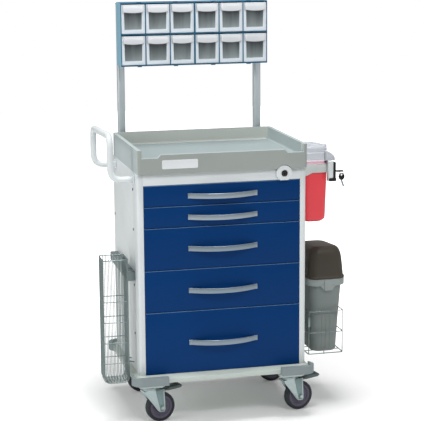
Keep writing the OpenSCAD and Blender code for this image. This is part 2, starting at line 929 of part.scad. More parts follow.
// Tapered bin with a wide collar, open at the top
module waste_bin() {
    neck = waste - 2 * [collar_out, collar_out];
    color("#868c8c")
        difference() {
            union() {
                waste_taper(0, waste_z);
                slab(waste, 45, waste_top_z - collar_h, collar_h, waste_mid);
                translate([waste_mid[0] - 22, waste_mid[1] - waste[1] / 2 - 3, waste_top_z - 36])
                    cube([44, 30, 34]);
            }
            waste_taper(shell_wall, waste_z + shell_wall);
            slab(neck - [5, 5], 28, waste_top_z - collar_h - 2, collar_h + 3, waste_mid);
            difference() {
                slab(waste - 2 * [shell_wall, shell_wall], 43,
                    waste_top_z - collar_h - past, collar_h - 5 + past, waste_mid);
                slab(neck, 30, waste_top_z - collar_h - past, collar_h, waste_mid);
            }
        }
}

module waste_taper(inset, bottom_z) {
    top = waste - 2 * [collar_out + inset, collar_out + inset];
    hull() {
        slab(top - [52, 52], 24, bottom_z, 1, waste_mid);
        slab(top, 30, waste_top_z - collar_h - 1, 1, waste_mid);
    }
}

// Domed hood with its mouth on the side away from the cabinet
module waste_hood() {
    color("#4d4a45")
        difference() {
            union() {
                slab(waste, 45, hood_z, 8, waste_mid);
                hood_dome(0);
            }
            hood_dome(shell_wall);
            translate([waste_mid[0] + 30, waste_mid[1] - 75, hood_z + 32])
                cube([waste[0], 150, 66]);
        }
}

module hood_dome(inset) {
    low = inset > 0 ? hood_z - past : hood_z;
    hull() {
        slab(waste - 2 * [inset + 5, inset + 5], 42, low, 8, waste_mid);
        slab(waste - 2 * [inset + 12, inset + 12], 42, hood_z + hood_h * 0.5 - inset, 1, waste_mid);
        slab(waste - 2 * [inset + 25, inset + 27], 40, hood_z + hood_h * 0.8 - inset, 1, waste_mid);
        slab(waste - 2 * [inset + 39, inset + 46], 34, hood_z + hood_h * 0.94 - inset, 1, waste_mid);
        slab(waste - 2 * [inset + 56, inset + 70], 24, hood_z + hood_h - 1 - inset, 1, waste_mid);
    }
}

// Locking bracket: a plate on the panel, a band around the container, and the lock's housing
module sharps_bracket() {
    ring = sharps + 2 * [band_gap + band_t, band_gap + band_t];
    plate_x = sharps_mid[0] - ring[0] / 2;
    color("#cfd4d6")
        difference() {
            union() {
                slab(ring, 30, sharps_top_z - band_h, band_h, sharps_mid);
                translate([half_w, sharps_mid[1] - 90, sharps_z + 40])
                    cube([plate_x - half_w + band_t, 180, sharps_h - 40]);
                translate([sharps_mid[0] + ring[0] / 2 - 12, latch_y - 8, key_z - 40])
                    cube([32, 20, sharps_top_z - key_z + 40]);
            }
            slab(ring - 2 * [band_t, band_t], 28, sharps_z, 2 * sharps_h, sharps_mid);
            translate([0, latch_y + 2, key_z])
                rod_x(latch_x + 2, latch_x + 40, key_r + run_gap);
        }
}

// Tapered container with rounded bottom edges and a rim that rests on the band
module sharps_container() {
    rim_back_y = sharps_mid[1] + sharps[1] / 2 + sharps_rim_out;
    color("#c8403c")
        difference() {
            union() {
                sharps_taper(0, sharps_z);
                slab(sharps + 2 * [sharps_rim_out, sharps_rim_out], 32, sharps_top_z,
                    sharps_rim_h, sharps_mid);
                for (sx = [-1, 1])
                    translate([sharps_mid[0] + sx * 30 - lug_w / 2, 0, 0]) {
                        translate([0, hinge_y, hinge_z])
                            rod_x(0, lug_w, lug_r);
                        translate([0, rim_back_y - 1, sharps_top_z])
                            cube([lug_w, hinge_y + lug_r - rim_back_y + 1, hinge_z - sharps_top_z]);
                    }
            }
            sharps_taper(shell_wall, sharps_z + shell_wall);
            slab(sharps - 2 * [shell_wall, shell_wall], 26, sharps_top_z - 3, 12, sharps_mid);
            translate([0, hinge_y, hinge_z])
                rod_x(sharps_mid[0] - 40, sharps_mid[0] + 40, hinge_pin_r + run_gap);
        }
}

module sharps_taper(inset, bottom_z) {
    size = sharps - 2 * [inset, inset];
    foot = 5;
    hull() {
        slab(size - [36, 40], 20, bottom_z, 1, sharps_mid);
        slab(size - [14, 16], 28, bottom_z + 12, 1, sharps_mid);
        slab(size, 28, sharps_top_z - foot, foot, sharps_mid);
    }
}

// Translucent lid, hinged at the rear end of the container, with its hinge pin
module sharps_lid() {
    knuckle_w = 20;
    color("#dcd8e4")
        difference() {
            union() {
                lid_dome(0);
                for (sx = [-1, 1])
                    translate([sharps_mid[0] + sx * 13 - knuckle_w / 2, 0, 0]) {
                        translate([0, hinge_y, hinge_z])
                            rod_x(0, knuckle_w, lug_r);
                        translate([0, hinge_y - 12, lid_z])
                            cube([knuckle_w, 12, 5]);
                    }
                translate([0, hinge_y, hinge_z])
                    rod_x(sharps_mid[0] - 36, sharps_mid[0] + 36, hinge_pin_r);
                translate([sharps_mid[0] + sharps[0] / 2 - 16, sharps_front_y - 6, lid_z + 16])
                    cube([40, 30, 15]);
            }
            lid_dome(2);
        }
}

module lid_dome(inset) {
    low = lid_z - (inset > 0 ? past : 0);
    hull() {
        slab(sharps + [4, 4] - 2 * [inset, inset], 30, low, 6, sharps_mid);
        slab(sharps - [5, 12] - 2 * [inset, inset], 27, lid_z + lid_h - 12 - inset, 1,
            sharps_mid + [0, 3]);
        slab(sharps - [38, 50] - 2 * [inset, inset], 20, lid_z + lid_h - 1 - inset, 1,
            sharps_mid + [0, 8]);
    }
}

// Key in the bracket's lock, with a ring and a spare key hanging from it
module sharps_key() {
    bow_x = latch_x + 24;
    y = latch_y + 2;
    color("#26262a") {
        translate([0, y, key_z])
            rod_x(latch_x + 4, bow_x, key_r);
        translate([bow_x - 1, y - 10, key_z - 1.5])
            cube([26, 20, 3]);
        translate([bow_x + 30, y, key_z - 6])
            rotate([90, 0, 0])
                rotate_extrude()
                    translate([10, 0])
                        circle(1);
        translate([bow_x + 24, y - 1.2, key_z - 40])
            cube([18, 2.4, 26]);
        translate([bow_x + 30, y - 0.9, key_z - 66])
            cube([6, 1.8, 27]);
    }
}

// Top plates with the upper half of each swivel, the rack's brackets and the rail's screws
module mounting_hardware() {
    color("#c2c7c9") {
        for (sx = [-1, 1], sy = [-1, 1])
            translate([sx * caster_x, sy * caster_y, 0])
                caster_plate();
        for (sx = [-1, 1], z = [post_z + 40, header_z - 20])
            translate([sx * post_x - rack_post / 2, back_y - sheet + seam, z])
                cube([rack_post, rack_gap + sheet - seam, 60]);
        for (y = [side_y - 24, basket_back_y + 24])
            translate([-rail_out_x, y, side_rail_z + side_rail[1] / 2])
                rod_x(-3, -seam, 6);
    }
}

module caster_plate() {
    translate([-46, -46, caster_h - plate_t])
        cube([92, 92, plate_t]);
    translate([0, 0, caster_h - plate_t - race_h])
        cylinder(h = race_h + past, r = 26);
    translate([0, 0, crown_z - 1])
        cylinder(h = caster_h - crown_z, r = kingpin_r);
    translate([0, 0, crown_z - 3])
        cylinder(h = 3 - seam, r = 10);
}

// Swivel fork of a caster: raceway, crown, two legs and the axle
module fork(sx, sy) {
    color("#b9c2c3")
        translate([sx * caster_x, sy * caster_y, 0])
            rotate([0, 0, caster_turn])
                fork_shape();
}

module fork_shape() {
    difference() {
        union() {
            translate([0, 0, crown_z + crown_t - 1])
                cylinder(h = caster_h - plate_t - race_h - crown_z - crown_t + 1 - seam, r = 30);
            translate([-crown_back, -leg_in - leg_t, crown_z])
                cube([crown_back + crown_front, 2 * (leg_in + leg_t), crown_t]);
            for (side = [-1, 1])
                translate([0, side * (leg_in + leg_t / 2) + leg_t / 2, 0])
                    rotate([90, 0, 0])
                        linear_extrude(leg_t)
                            leg_outline();
            translate([trail, 0, wheel_r])
                rod_y(-leg_in - leg_t - 7, leg_in + leg_t + 7, axle_r);
            for (side = [-1, 1])
                translate([trail, side * (leg_in + leg_t + 2.5), wheel_r])
                    rod_y(-3, 3, 8);
        }
        translate([0, 0, crown_z - past])
            cylinder(h = caster_h, r = kingpin_r + run_gap);
        translate([pedal_pivot[0], 0, pedal_pivot[1]])
            rod_y(-leg_in - leg_t - past, leg_in + leg_t + past, pedal_pin_r + run_gap);
    }
}

module leg_outline() {
    polygon([
        [-crown_back + 2, crown_z + crown_t], [-crown_back + 2, crown_z - 4],
        [trail - 19, wheel_r - 12], [trail - 10, wheel_r - 19], [trail + 10, wheel_r - 19],
        [trail + 15, wheel_r - 10], [trail + 11, crown_z + crown_t]
    ]);
}

module wheel(sx, sy) {
    translate([sx * caster_x, sy * caster_y, 0])
        rotate([0, 0, caster_turn])
            translate([trail, 0, wheel_r])
                rotate([90, 0, 0]) {
                    color("#3c3f42")
                        rotate_extrude($fn = 96)
                            tyre_section();
                    color("#6c6a78")
                        rotate_extrude($fn = 96)
                            hub_section();
                }
}

module tyre_section() {
    inner = wheel_r - 13;
    shoulder = 7;
    difference() {
        union() {
            translate([inner, -wheel_w / 2])
                square([13 - shoulder, wheel_w]);
            translate([inner, -wheel_w / 2 + shoulder])
                square([13, wheel_w - 2 * shoulder]);
            for (side = [-1, 1])
                translate([wheel_r - shoulder, side * (wheel_w / 2 - shoulder)])
                    circle(shoulder);
        }
        translate([0, -wheel_w])
            square([inner, 2 * wheel_w]);
    }
}

module hub_section() {
    rim_r = wheel_r - 13 - seam;
    boss = leg_in - slide_gap;
    translate([axle_r + run_gap, -boss])
        square([12, 2 * boss]);
    translate([axle_r + run_gap + 11, -5])
        square([rim_r - axle_r - 14, 10]);
    translate([rim_r - 7, -wheel_w / 2 + 3])
        square([7, wheel_w - 6]);
}

// Brake pedal on the fork: a hub between the legs and a tread plate beyond the wheel
module brake_pedal(sx) {
    w = leg_in - slide_gap;
    color("#232528")
        translate([sx * caster_x, -caster_y, 0])
            rotate([0, 0, caster_turn])
                difference() {
                    pedal_shape(w);
                    translate([trail, 0, wheel_r])
                        rod_y(-wheel_w, wheel_w, wheel_r + 2);
                }
}

module pedal_shape(w) {
    px = pedal_pivot[0];
    pz = pedal_pivot[1];
    translate([px, 0, pz])
        rod_y(-w, w, 5);
    translate([px, 0, pz])
        rod_y(-leg_in - leg_t, leg_in + leg_t, pedal_pin_r);
    translate([0, w, 0])
        rotate([90, 0, 0])
            linear_extrude(2 * w)
                polygon([
                    [px, pz - 4], [px + tread_start + 1, pz - 3],
                    [px + tread_start + 1, pz + 5], [px, pz - 0.5]
                ]);
    translate([0, tread_w / 2, 0])
        rotate([90, 0, 0])
            linear_extrude(tread_w)
                polygon([
                    [px + tread_start, pz - 3], [pedal_reach - 8, pz + 2], [pedal_reach, pz + 8],
                    [pedal_reach - 4, pz + 14], [px + tread_start + 9, pz + 10],
                    [px + tread_start, pz + 5]
                ]);
}

side_panel_left();
side_panel_right();
back_panel();
base_frame();
top_frame();
worktop_tray();
corner_bumpers();
push_handle();
lock_barrel();
slide_rails();
bin_rack();
accessory_rail();
wire_basket();
waste_bin_holder();
sharps_bracket();
mounting_hardware();
lock_plug();
lock_bar();
for (i = [0 : drawers - 1]) {
    drawer_box(i);
    drawer_front(i);
    drawer_handle(i);
}
for (number = [1 : bin_modules * bin_columns * bin_rows])
    tilt_bin(number);
fork(-1, -1);  // fork_front_left
fork(1, -1);  // fork_front_right
fork(-1, 1);  // fork_rear_left
fork(1, 1);  // fork_rear_right
wheel(-1, -1);  // wheel_front_left
wheel(1, -1);  // wheel_front_right
wheel(-1, 1);  // wheel_rear_left
wheel(1, 1);  // wheel_rear_right
brake_pedal(-1);  // brake_pedal_left
brake_pedal(1);  // brake_pedal_right
waste_bin();
waste_hood();
sharps_container();
sharps_lid();
sharps_key();
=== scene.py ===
"""The anesthesia cart dressed for the camera: bevelled steel and plastic skins over the CAD
frame, real round wires, moulded bins, casters, containers, and a plain studio around them.

Lengths in the calls are millimetres in the CAD frame; MM turns them into metres."""

import json
import math

import bmesh
import bpy
from mathutils import Matrix, Vector


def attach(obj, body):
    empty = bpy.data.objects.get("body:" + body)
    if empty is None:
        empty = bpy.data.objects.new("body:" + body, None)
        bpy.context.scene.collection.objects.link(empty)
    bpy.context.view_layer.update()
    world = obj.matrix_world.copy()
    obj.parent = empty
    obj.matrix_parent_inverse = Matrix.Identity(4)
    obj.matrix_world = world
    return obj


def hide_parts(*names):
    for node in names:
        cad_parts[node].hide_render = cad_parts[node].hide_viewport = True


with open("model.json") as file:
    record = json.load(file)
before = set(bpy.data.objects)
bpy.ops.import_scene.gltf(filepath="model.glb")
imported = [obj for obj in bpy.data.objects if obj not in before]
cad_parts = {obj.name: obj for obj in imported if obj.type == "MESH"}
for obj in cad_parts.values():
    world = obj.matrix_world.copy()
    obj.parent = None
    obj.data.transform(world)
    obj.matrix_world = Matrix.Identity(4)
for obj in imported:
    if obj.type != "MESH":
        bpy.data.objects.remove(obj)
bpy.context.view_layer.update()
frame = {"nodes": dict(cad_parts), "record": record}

MM = 0.001
NODES = frame["nodes"]
BODIES = frame["record"]["behaviour"]["bodies"]
BODY_OF = {node: body for body, members in BODIES.items() for node in members}

# Sizes shared with the CAD source, in millimetres, and the turn of the casters
HALF_W, FRONT_Y, FLOOR_Z = 353, -266, 1099.5
HOLE_Y, HOLE_R = -181, 3.3
RACK_Z, ROD_Y, CELL_PITCH, MODULE_W, CELL_RISE = 1440, 212, 106, 321, 132.5
POST_X, POST_Y, POST_HALF = 304, 304.2, 15
GRIP_X, GRIP_Y, GRIP_FOOT_Z = -448, 206, 1027
WASTE_MID, SHARPS_MID = (485, -21), (418, -56)
HINGE_Y, HINGE_Z = 90, 1058.3
STEM_X, STEM_Y, TRAIL, TURN = 300, 206, 45, math.radians(13)
WHEEL_R = 62.5

# Choices of the scene alone. The grommets stand 2.5 mm above the holes of the CAD panels.
GROMMET_LEVELS, REAR_SCREW = (982, 817, 585, 380), (243, 803)
PULL_SLIMMING, PULL_DROP_SMALL, PULL_DROP_LARGE = 0.87, 4, 2.5
LIP_HALF_W, LIP_SAG = 46, 4.5
GRIP_FRONT_Z, GRIP_REAR_Z = 1205, 1186
AIR_LEVEL, GLOSS_LEVEL = 0.25, 0.42
# Centre of the floor's pool of painted shade, in metres
SHADE_POOL_CENTRE = (0.2, -1.85, 0)

SIDES = ((-1, "left"), (1, "right"))


# ---------------------------------------------------------------- handwork

def deselect():
    bpy.ops.object.select_all(action="DESELECT")


def activate(piece):
    deselect()
    piece.select_set(True)
    bpy.context.view_layer.objects.active = piece


def named(name):
    piece = bpy.context.object
    piece.name = name
    piece.data.name = name
    return piece


def settle(piece):
    """Puts the place, turn and size of the object into its mesh."""
    activate(piece)
    bpy.ops.object.transform_apply(location=True, rotation=True, scale=True)
    return piece


def edit(piece, kind="FACE"):
    activate(piece)
    bpy.ops.object.mode_set(mode="EDIT")
    bpy.ops.mesh.select_mode(type=kind)
    bpy.ops.mesh.select_all(action="DESELECT")


def done():
    bpy.ops.object.mode_set(mode="OBJECT")


def pick_faces(piece, test):
    """Selects the faces whose middle (mm) and normal pass the test."""
    mesh = bmesh.from_edit_mesh(piece.data)
    for face in mesh.faces:
        face.select_set(bool(test(face.calc_center_median() / MM, face.normal)))
    mesh.select_flush_mode()
    bmesh.update_edit_mesh(piece.data)


def pick_edges(piece, test):
    """Selects the edges whose two ends (mm) pass the test."""
    mesh = bmesh.from_edit_mesh(piece.data)
    for line in mesh.edges:
        a, b = (v.co / MM for v in line.verts)
        line.select_set(bool(test(a, b)))
    bmesh.update_edit_mesh(piece.data)


def move_points(piece, change):
    """Moves every vertex to where change(point in mm) says."""
    for v in piece.data.vertices:
        v.co = Vector(change(v.co / MM)) * MM
    piece.data.update()


def tidy_normals(piece, merge=0.002):
    edit(piece, "VERT")
    bpy.ops.mesh.select_all(action="SELECT")
    bpy.ops.mesh.remove_doubles(threshold=merge * MM)
    bpy.ops.mesh.normals_make_consistent(inside=False)
    done()
    return piece


def round_edges(piece, test, reach, segments, **values):
    edit(piece, "EDGE")
    pick_edges(piece, test)
    bpy.ops.mesh.bevel(offset=reach * MM, segments=segments, affect="EDGES", **values)
    done()


def inset_faces(piece, test, thickness, depth):
    edit(piece)
    pick_faces(piece, test)
    bpy.ops.mesh.inset(thickness=thickness * MM, depth=depth * MM)
    done()


def apply(piece, kind, **values):
    activate(piece)
    modifier = piece.modifiers.new("work", kind)
    for key, value in values.items():
        setattr(modifier, key, value)
    bpy.ops.object.modifier_apply(modifier=modifier.name)
    return piece


def soften(piece, width, segments=2, angle=35, shade=40):
    """Rounds the edges that turn by more than the angle, and shades the rest smooth."""
    if width:
        apply(piece, "BEVEL", width=width * MM, segments=segments, limit_method="ANGLE",
              angle_limit=math.radians(angle), use_clamp_overlap=True)
    activate(piece)
    bpy.ops.object.shade_smooth_by_angle(angle=math.radians(shade))
    return piece


def block(name, low, high):
    low, high = Vector(low), Vector(high)
    bpy.ops.mesh.primitive_cube_add(size=1, location=(low + high) / 2 * MM)
    piece = named(name)
    piece.scale = (high - low) * MM
    return settle(piece)


def rod(name, start, end, radius, sides=24):
    start, end = Vector(start), Vector(end)
    along = end - start
    bpy.ops.mesh.primitive_cylinder_add(vertices=sides, radius=radius * MM,
                                        depth=along.length * MM,
                                        location=(start + end) / 2 * MM)
    piece = named(name)
    piece.rotation_mode = "QUATERNION"
    piece.rotation_quaternion = Vector((0, 0, 1)).rotation_difference(along)
    return settle(piece)


def outline(name, points, push):
    """A block whose end face has the given corners (mm), pushed out by a vector (mm)."""
    bpy.ops.mesh.primitive_circle_add(vertices=len(points), fill_type="NGON")
    piece = named(name)
    for v, point in zip(piece.data.vertices, points):
        v.co = Vector(point) * MM
    edit(piece)
    bpy.ops.mesh.select_all(action="SELECT")
    bpy.ops.mesh.extrude_region_move(TRANSFORM_OT_translate={"value": Vector(push) * MM})
    done()
    return tidy_normals(piece)


def loft(name, middle, radius, sections, corner):
    """A rounded plate raised through sections (z, width, length, dx, dy), all in mm."""
    z, w, l, x, y = (tuple(sections[0]) + (0, 0))[:5]
    bpy.ops.mesh.primitive_plane_add(
        size=1, location=Vector((middle[0] + x, middle[1] + y, z)) * MM)
    piece = named(name)
    piece.scale = (w * MM, l * MM, 1)
    settle(piece)
    edit(piece, "VERT")
    bpy.ops.mesh.select_all(action="SELECT")
    bpy.ops.mesh.bevel(offset=radius * MM, offset_type="OFFSET", segments=corner,
                       affect="VERTICES", profile=0.5)
    bpy.ops.mesh.select_mode(type="FACE")
    bpy.ops.mesh.select_all(action="SELECT")
    for section in sections[1:]:
        z1, w1, l1, x1, y1 = (tuple(section) + (0, 0))[:5]
        bpy.ops.mesh.extrude_region_move(
            TRANSFORM_OT_translate={"value": Vector((x1 - x, y1 - y, z1 - z)) * MM})
        bpy.ops.transform.resize(
            value=(w1 / w, l1 / l, 1),
            center_override=Vector((middle[0] + x1, middle[1] + y1, z1)) * MM)
        z, w, l, x, y = z1, w1, l1, x1, y1
    done()
    return tidy_normals(piece)


def turned(name, profile, steps):
    """A ring-shaped solid: a closed profile of (radius, offset) spun around the Y axis."""
    bpy.ops.mesh.primitive_circle_add(vertices=len(profile), fill_type="NOTHING")
    piece = named(name)
    for v, (radius, offset) in zip(piece.data.vertices, profile):
        v.co = Vector((radius, offset, 0)) * MM
    edit(piece, "VERT")
    bpy.ops.mesh.select_all(action="SELECT")
    bpy.ops.mesh.spin(steps=steps, angle=math.tau, center=(0, 0, 0), axis=(0, 1, 0))
    done()
    return tidy_normals(piece, 0.01)


def wires(name, runs, radius, round_steps, closed=False):
    """Round wires along runs of points (mm), as one mesh."""
    curve = bpy.data.curves.new(name, "CURVE")
    curve.dimensions = "3D"
    curve.bevel_depth = radius * MM
    curve.bevel_resolution = round_steps
    curve.use_fill_caps = not closed
    for run in runs:
        spline = curve.splines.new("POLY")
        spline.points.add(len(run) - 1)
        for knot, point in zip(spline.points, run):
            knot.co = (*(Vector(point) * MM), 1)
        spline.use_cyclic_u = closed
    piece = bpy.data.objects.new(name, curve)
    bpy.context.scene.collection.objects.link(piece)
    activate(piece)
    bpy.ops.object.convert(target="MESH")
    piece = named(name)
    tidy_normals(piece, 0.01)
    return soften(piece, 0, shade=50)


def bent(points, radius, steps=5, closed=False):
    """A run of points whose corners are rounded to the radius."""
    points = [Vector(p) for p in points]
    count = len(points)
    run = []
    for i, corner in enumerate(points):
        if not closed and i in (0, count - 1):
            run.append(corner)
            continue
        back = points[i - 1] - corner
        on = points[(i + 1) % count] - corner
        half = back.angle(on) / 2
        reach = min(radius / math.tan(half), 0.49 * back.length, 0.49 * on.length)
        a, b = corner + back.normalized() * reach, corner + on.normalized() * reach
        for k in range(steps + 1):
            t = k / steps
            run.append(a * (1 - t) ** 2 + corner * 2 * t * (1 - t) + b * t ** 2)
    return run


def ring(x0, x1, y0, y1, z, radius):
    """A closed level run around a rectangle with rounded corners."""
    return bent([(x0, y0, z), (x1, y0, z), (x1, y1, z), (x0, y1, z)], radius, closed=True)


def join(pieces, name):
    deselect()
    for piece in pieces:
        piece.select_set(True)
    bpy.context.view_layer.objects.active = pieces[0]
    bpy.ops.object.join()
    return named(name)


def oval(x, y, z, half_w, half_h, count):
    """Points on an upright oval that faces the front."""
    return [(x + half_w * math.cos(a), y, z + half_h * math.sin(a))
            for a in (k * math.tau / count for k in range(count))]


def shift(x, y, z):
    return Matrix.Translation(Vector((x, y, z)) * MM)


def twin(piece, name, matrix):
    """A copy with its own mesh, moved by a matrix in metres."""
    copy = piece.copy()
    copy.data = piece.data.copy()
    copy.name = copy.data.name = name
    bpy.context.scene.collection.objects.link(copy)
    copy.data.transform(matrix)
    if matrix.determinant() < 0:
        copy.data.flip_normals()
    return copy


def carve(piece, cutter):
    apply(piece, "BOOLEAN", operation="DIFFERENCE", object=cutter, solver="EXACT")
    bpy.data.objects.remove(cutter)
    return piece


def skin(node, name, width, segments=2):
    """A copy of a CAD node, merged into clean faces, with its edges rounded."""
    piece = bpy.data.objects.new(name, NODES[node].data.copy())
    bpy.context.scene.collection.objects.link(piece)
    piece.data.materials.clear()
    edit(piece, "VERT")
    bpy.ops.mesh.select_all(action="SELECT")
    bpy.ops.mesh.remove_doubles(threshold=0.004 * MM)
    bpy.ops.mesh.dissolve_limited(angle_limit=math.radians(1))
    done()
    return soften(piece, width, segments)


def paint(piece, materials, choose):
    """Gives each face the material whose number choose(middle in mm, normal) returns."""
    for material in materials:
        piece.data.materials.append(material)
    for face in piece.data.polygons:
        face.material_index = int(choose(face.center / MM, face.normal))
    return piece


def place(piece, node, material=None, hides=True):
    """Lets a piece ride with a node's body, in place of the node or beside it, and gives it
    the material unless it has been painted before."""
    if material is not None:
        piece.data.materials.clear()
        piece.data.materials.append(material)
    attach(piece, BODY_OF[node])
    if hides:
        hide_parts(node)
    return piece


# ---------------------------------------------------------------- finishes

def srgb(red, green, blue):
    """A colour given in 0-255 display values."""
    def linear(c):
        c /= 255
        return c / 12.92 if c <= 0.04045 else ((c + 0.055) / 1.055) ** 2.4
    return (linear(red), linear(green), linear(blue), 1)


def new_group(name, inputs, outputs):
    tree = bpy.data.node_groups.new(name, "ShaderNodeTree")
    for title, kind in inputs:
        tree.interface.new_socket(name=title, in_out="INPUT", socket_type=kind)
    for title, kind in outputs:
        tree.interface.new_socket(name=title, in_out="OUTPUT", socket_type=kind)
    return tree, tree.nodes.new("NodeGroupInput"), tree.nodes.new("NodeGroupOutput")


VECTOR, FLOAT, COLOUR = "NodeSocketVector", "NodeSocketFloat", "NodeSocketColor"


def add(tree, kind, links=(), **values):
    """A new node with its settings, and its inputs set to values or joined to sockets."""
    node = tree.nodes.new("ShaderNode" + kind)
    for key, value in values.items():
        setattr(node, key, value)
    for key, value in dict(links).items():
        if isinstance(value, bpy.types.NodeSocket):
            tree.links.new(value, node.inputs[key])
        else:
            node.inputs[key].default_value = value
    return node


def around_one(tree, noise, amount):
    """A level that follows a noise to both sides of 1."""
    centred = add(tree, "Math", {0: noise, 1: 0.5}, operation="SUBTRACT")
    drift = add(tree, "Math", {0: centred.outputs[0], 1: amount}, operation="MULTIPLY")
    return add(tree, "Math", {0: drift.outputs[0], 1: 1.0}, operation="ADD").outputs[0]


def mottle_group():
    """Slow drift of a finish's colour and gloss."""
    tree, given, made = new_group(
        "slow_mottle", [("Vector", VECTOR), ("Colour", COLOUR), ("Scale", FLOAT),
                        ("Amount", FLOAT), ("Roughness", FLOAT)],
        [("Colour", COLOUR), ("Roughness", FLOAT)])
    noise = add(tree, "TexNoise", {"Vector": given.outputs["Vector"],
                                   "Scale": given.outputs["Scale"], "Detail": 3.0})
    level = around_one(tree, noise.outputs["Fac"], given.outputs["Amount"])
    tint = add(tree, "VectorMath", {0: given.outputs["Colour"], "Scale": level},
               operation="SCALE")
    dull = add(tree, "Math", {0: given.outputs["Roughness"], 1: level}, operation="MULTIPLY")
    tree.links.new(tint.outputs[0], made.inputs["Colour"])
    tree.links.new(dull.outputs[0], made.inputs["Roughness"])
    return tree


def grain_group():
    """Fine skin of paint or moulded plastic: small noise broken by cells."""
    tree, given, made = new_group(
        "fine_grain", [("Vector", VECTOR), ("Scale", FLOAT), ("Cells", FLOAT)],
        [("Height", FLOAT)])
    noise = add(tree, "TexNoise", {"Vector": given.outputs["Vector"],
                                   "Scale": given.outputs["Scale"], "Detail": 2.0})
    cells = add(tree, "TexVoronoi", {"Vector": given.outputs["Vector"],
                                     "Scale": given.outputs["Scale"]})
    pits = add(tree, "Math", {0: cells.outputs["Distance"], 1: given.outputs["Cells"]},
               operation="MULTIPLY")
    total = add(tree, "Math", {0: noise.outputs["Fac"], 1: pits.outputs[0]},
                operation="ADD")
    tree.links.new(total.outputs[0], made.inputs["Height"])
    return tree


def brush_group():
    """Long fine scratches along one direction; the Mapping before it stretches them."""
    tree, given, made = new_group(
        "brushed_lines", [("Vector", VECTOR), ("Scale", FLOAT), ("Colour", COLOUR),
                          ("Contrast", FLOAT)],
        [("Colour", COLOUR), ("Height", FLOAT)])
    fine = add(tree, "TexNoise", {"Vector": given.outputs["Vector"],
                                  "Scale": given.outputs["Scale"], "Detail": 4.0})
    level = around_one(tree, fine.outputs["Fac"], given.outputs["Contrast"])
    tint = add(tree, "VectorMath", {0: given.outputs["Colour"], "Scale": level},
               operation="SCALE")
    tree.links.new(tint.outputs[0], made.inputs["Colour"])
    tree.links.new(fine.outputs["Fac"], made.inputs["Height"])
    return tree


MOTTLE, GRAIN, BRUSH = mottle_group(), grain_group(), brush_group()


def use(tree, group, links):
    return add(tree, "Group", links, node_tree=group)


def blank(name, shader):
    """A new material: itself, its nodes, its surface and the place on the object."""
    material = bpy.data.materials.new(name)
    material.use_nodes = True
    tree = material.node_tree
    surface = tree.nodes["Principled BSDF"]
    for key, value in shader.items():
        surface.inputs[key].default_value = value
    return material, tree, surface, add(tree, "TexCoord").outputs["Object"]


def cover(tree, surface, slow, height=None, strength=0.0):
    """Leads a mottle's colour and gloss, and the bumps of a height, into the surface."""
    if height is not None:
        bump = add(tree, "Bump", {"Height": height, "Strength": strength, "Distance": 0.0002})
        tree.links.new(bump.outputs["Normal"], surface.inputs["Normal"])
    for title, socket in (("Colour", "Base Color"), ("Roughness", "Roughness")):
        tree.links.new(slow.outputs[title], surface.inputs[socket])


def finish(name, colour, roughness, grain, depth=0.02, amount=0.12, **shader):
    """Paint or moulded plastic: slow mottle, fine grain, and the shader's own values."""
    material, tree, surface, place_at = blank(name, shader)
    slow = use(tree, MOTTLE, {"Vector": place_at, "Colour": colour, "Scale": 6.0,
                              "Amount": amount, "Roughness": roughness})
    fine = use(tree, GRAIN, {"Vector": place_at, "Scale": float(grain), "Cells": 0.4})
    cover(tree, surface, slow, fine.outputs["Height"], depth * 10)
    return material


def gloss(level):
    return {"Specular IOR Level": level}


def moulded(name, colour, roughness=0.55):
    return finish(name, colour, roughness, grain=1100, depth=0.05, **gloss(0.3))


def metal(name, colour, roughness, stretch, contrast=0.3, **shader):
    """Metal with fine lines: the stretch is low along the lines."""
    material, tree, surface, place_at = blank(name, {"Metallic": 1.0, **shader})
    along = add(tree, "Mapping", {"Vector": place_at, "Scale": stretch})
    lines = use(tree, BRUSH, {"Vector": along.outputs[0], "Scale": 3.0, "Colour": colour,
                              "Contrast": contrast})
    slow = use(tree, MOTTLE, {"Vector": place_at, "Colour": lines.outputs["Colour"],
                              "Scale": 9.0, "Amount": 0.12, "Roughness": roughness})
    cover(tree, surface, slow, lines.outputs["Height"], 0.15)
    return material


def smoked_window_painted_shade():
    """Smoked plastic panes with painted shade: dark under each bin's lip and paler towards the
    bottom, for the shade under the lip and inside the bin.
    """
    material, tree, surface, place_at = blank("smoked_window_painted_shade", {"Coat Weight": 0.5})
    split = add(tree, "SeparateXYZ", {0: place_at})
    down = add(tree, "Math", {0: split.outputs["Z"], 1: (RACK_Z + 3) * MM},
               operation="SUBTRACT")
    cell = add(tree, "Math", {0: down.outputs[0], 1: CELL_RISE * MM}, operation="MODULO")
    # Painted shade: the pane darkens towards the top of each cell, under the lip
    high = add(tree, "MapRange", {"Value": cell.outputs[0], "From Min": 0.015,
                                  "From Max": 0.09, "To Min": 0.0, "To Max": 1.0})
    across = add(tree, "Mapping", {"Vector": place_at, "Scale": (36, 1, 5)})
    cloud = add(tree, "TexNoise", {"Vector": across.outputs[0], "Scale": 1.0, "Detail": 2.0})
    blend = add(tree, "MapRange", {"Value": cloud.outputs["Fac"], "From Min": 0.35,
                                   "From Max": 0.65, "To Min": -0.12, "To Max": 0.12})
    total = add(tree, "Math", {0: high.outputs[0], 1: blend.outputs[0]}, operation="ADD")
    ramp = add(tree, "ValToRGB", {"Fac": total.outputs[0]})
    ramp.color_ramp.elements[0].color = srgb(150, 160, 162)
    ramp.color_ramp.elements[1].color = srgb(50, 58, 62)
    slow = use(tree, MOTTLE, {"Vector": place_at, "Colour": ramp.outputs["Color"],
                              "Scale": 14.0, "Amount": 0.15, "Roughness": 0.3})
    cover(tree, surface, slow)
    return material


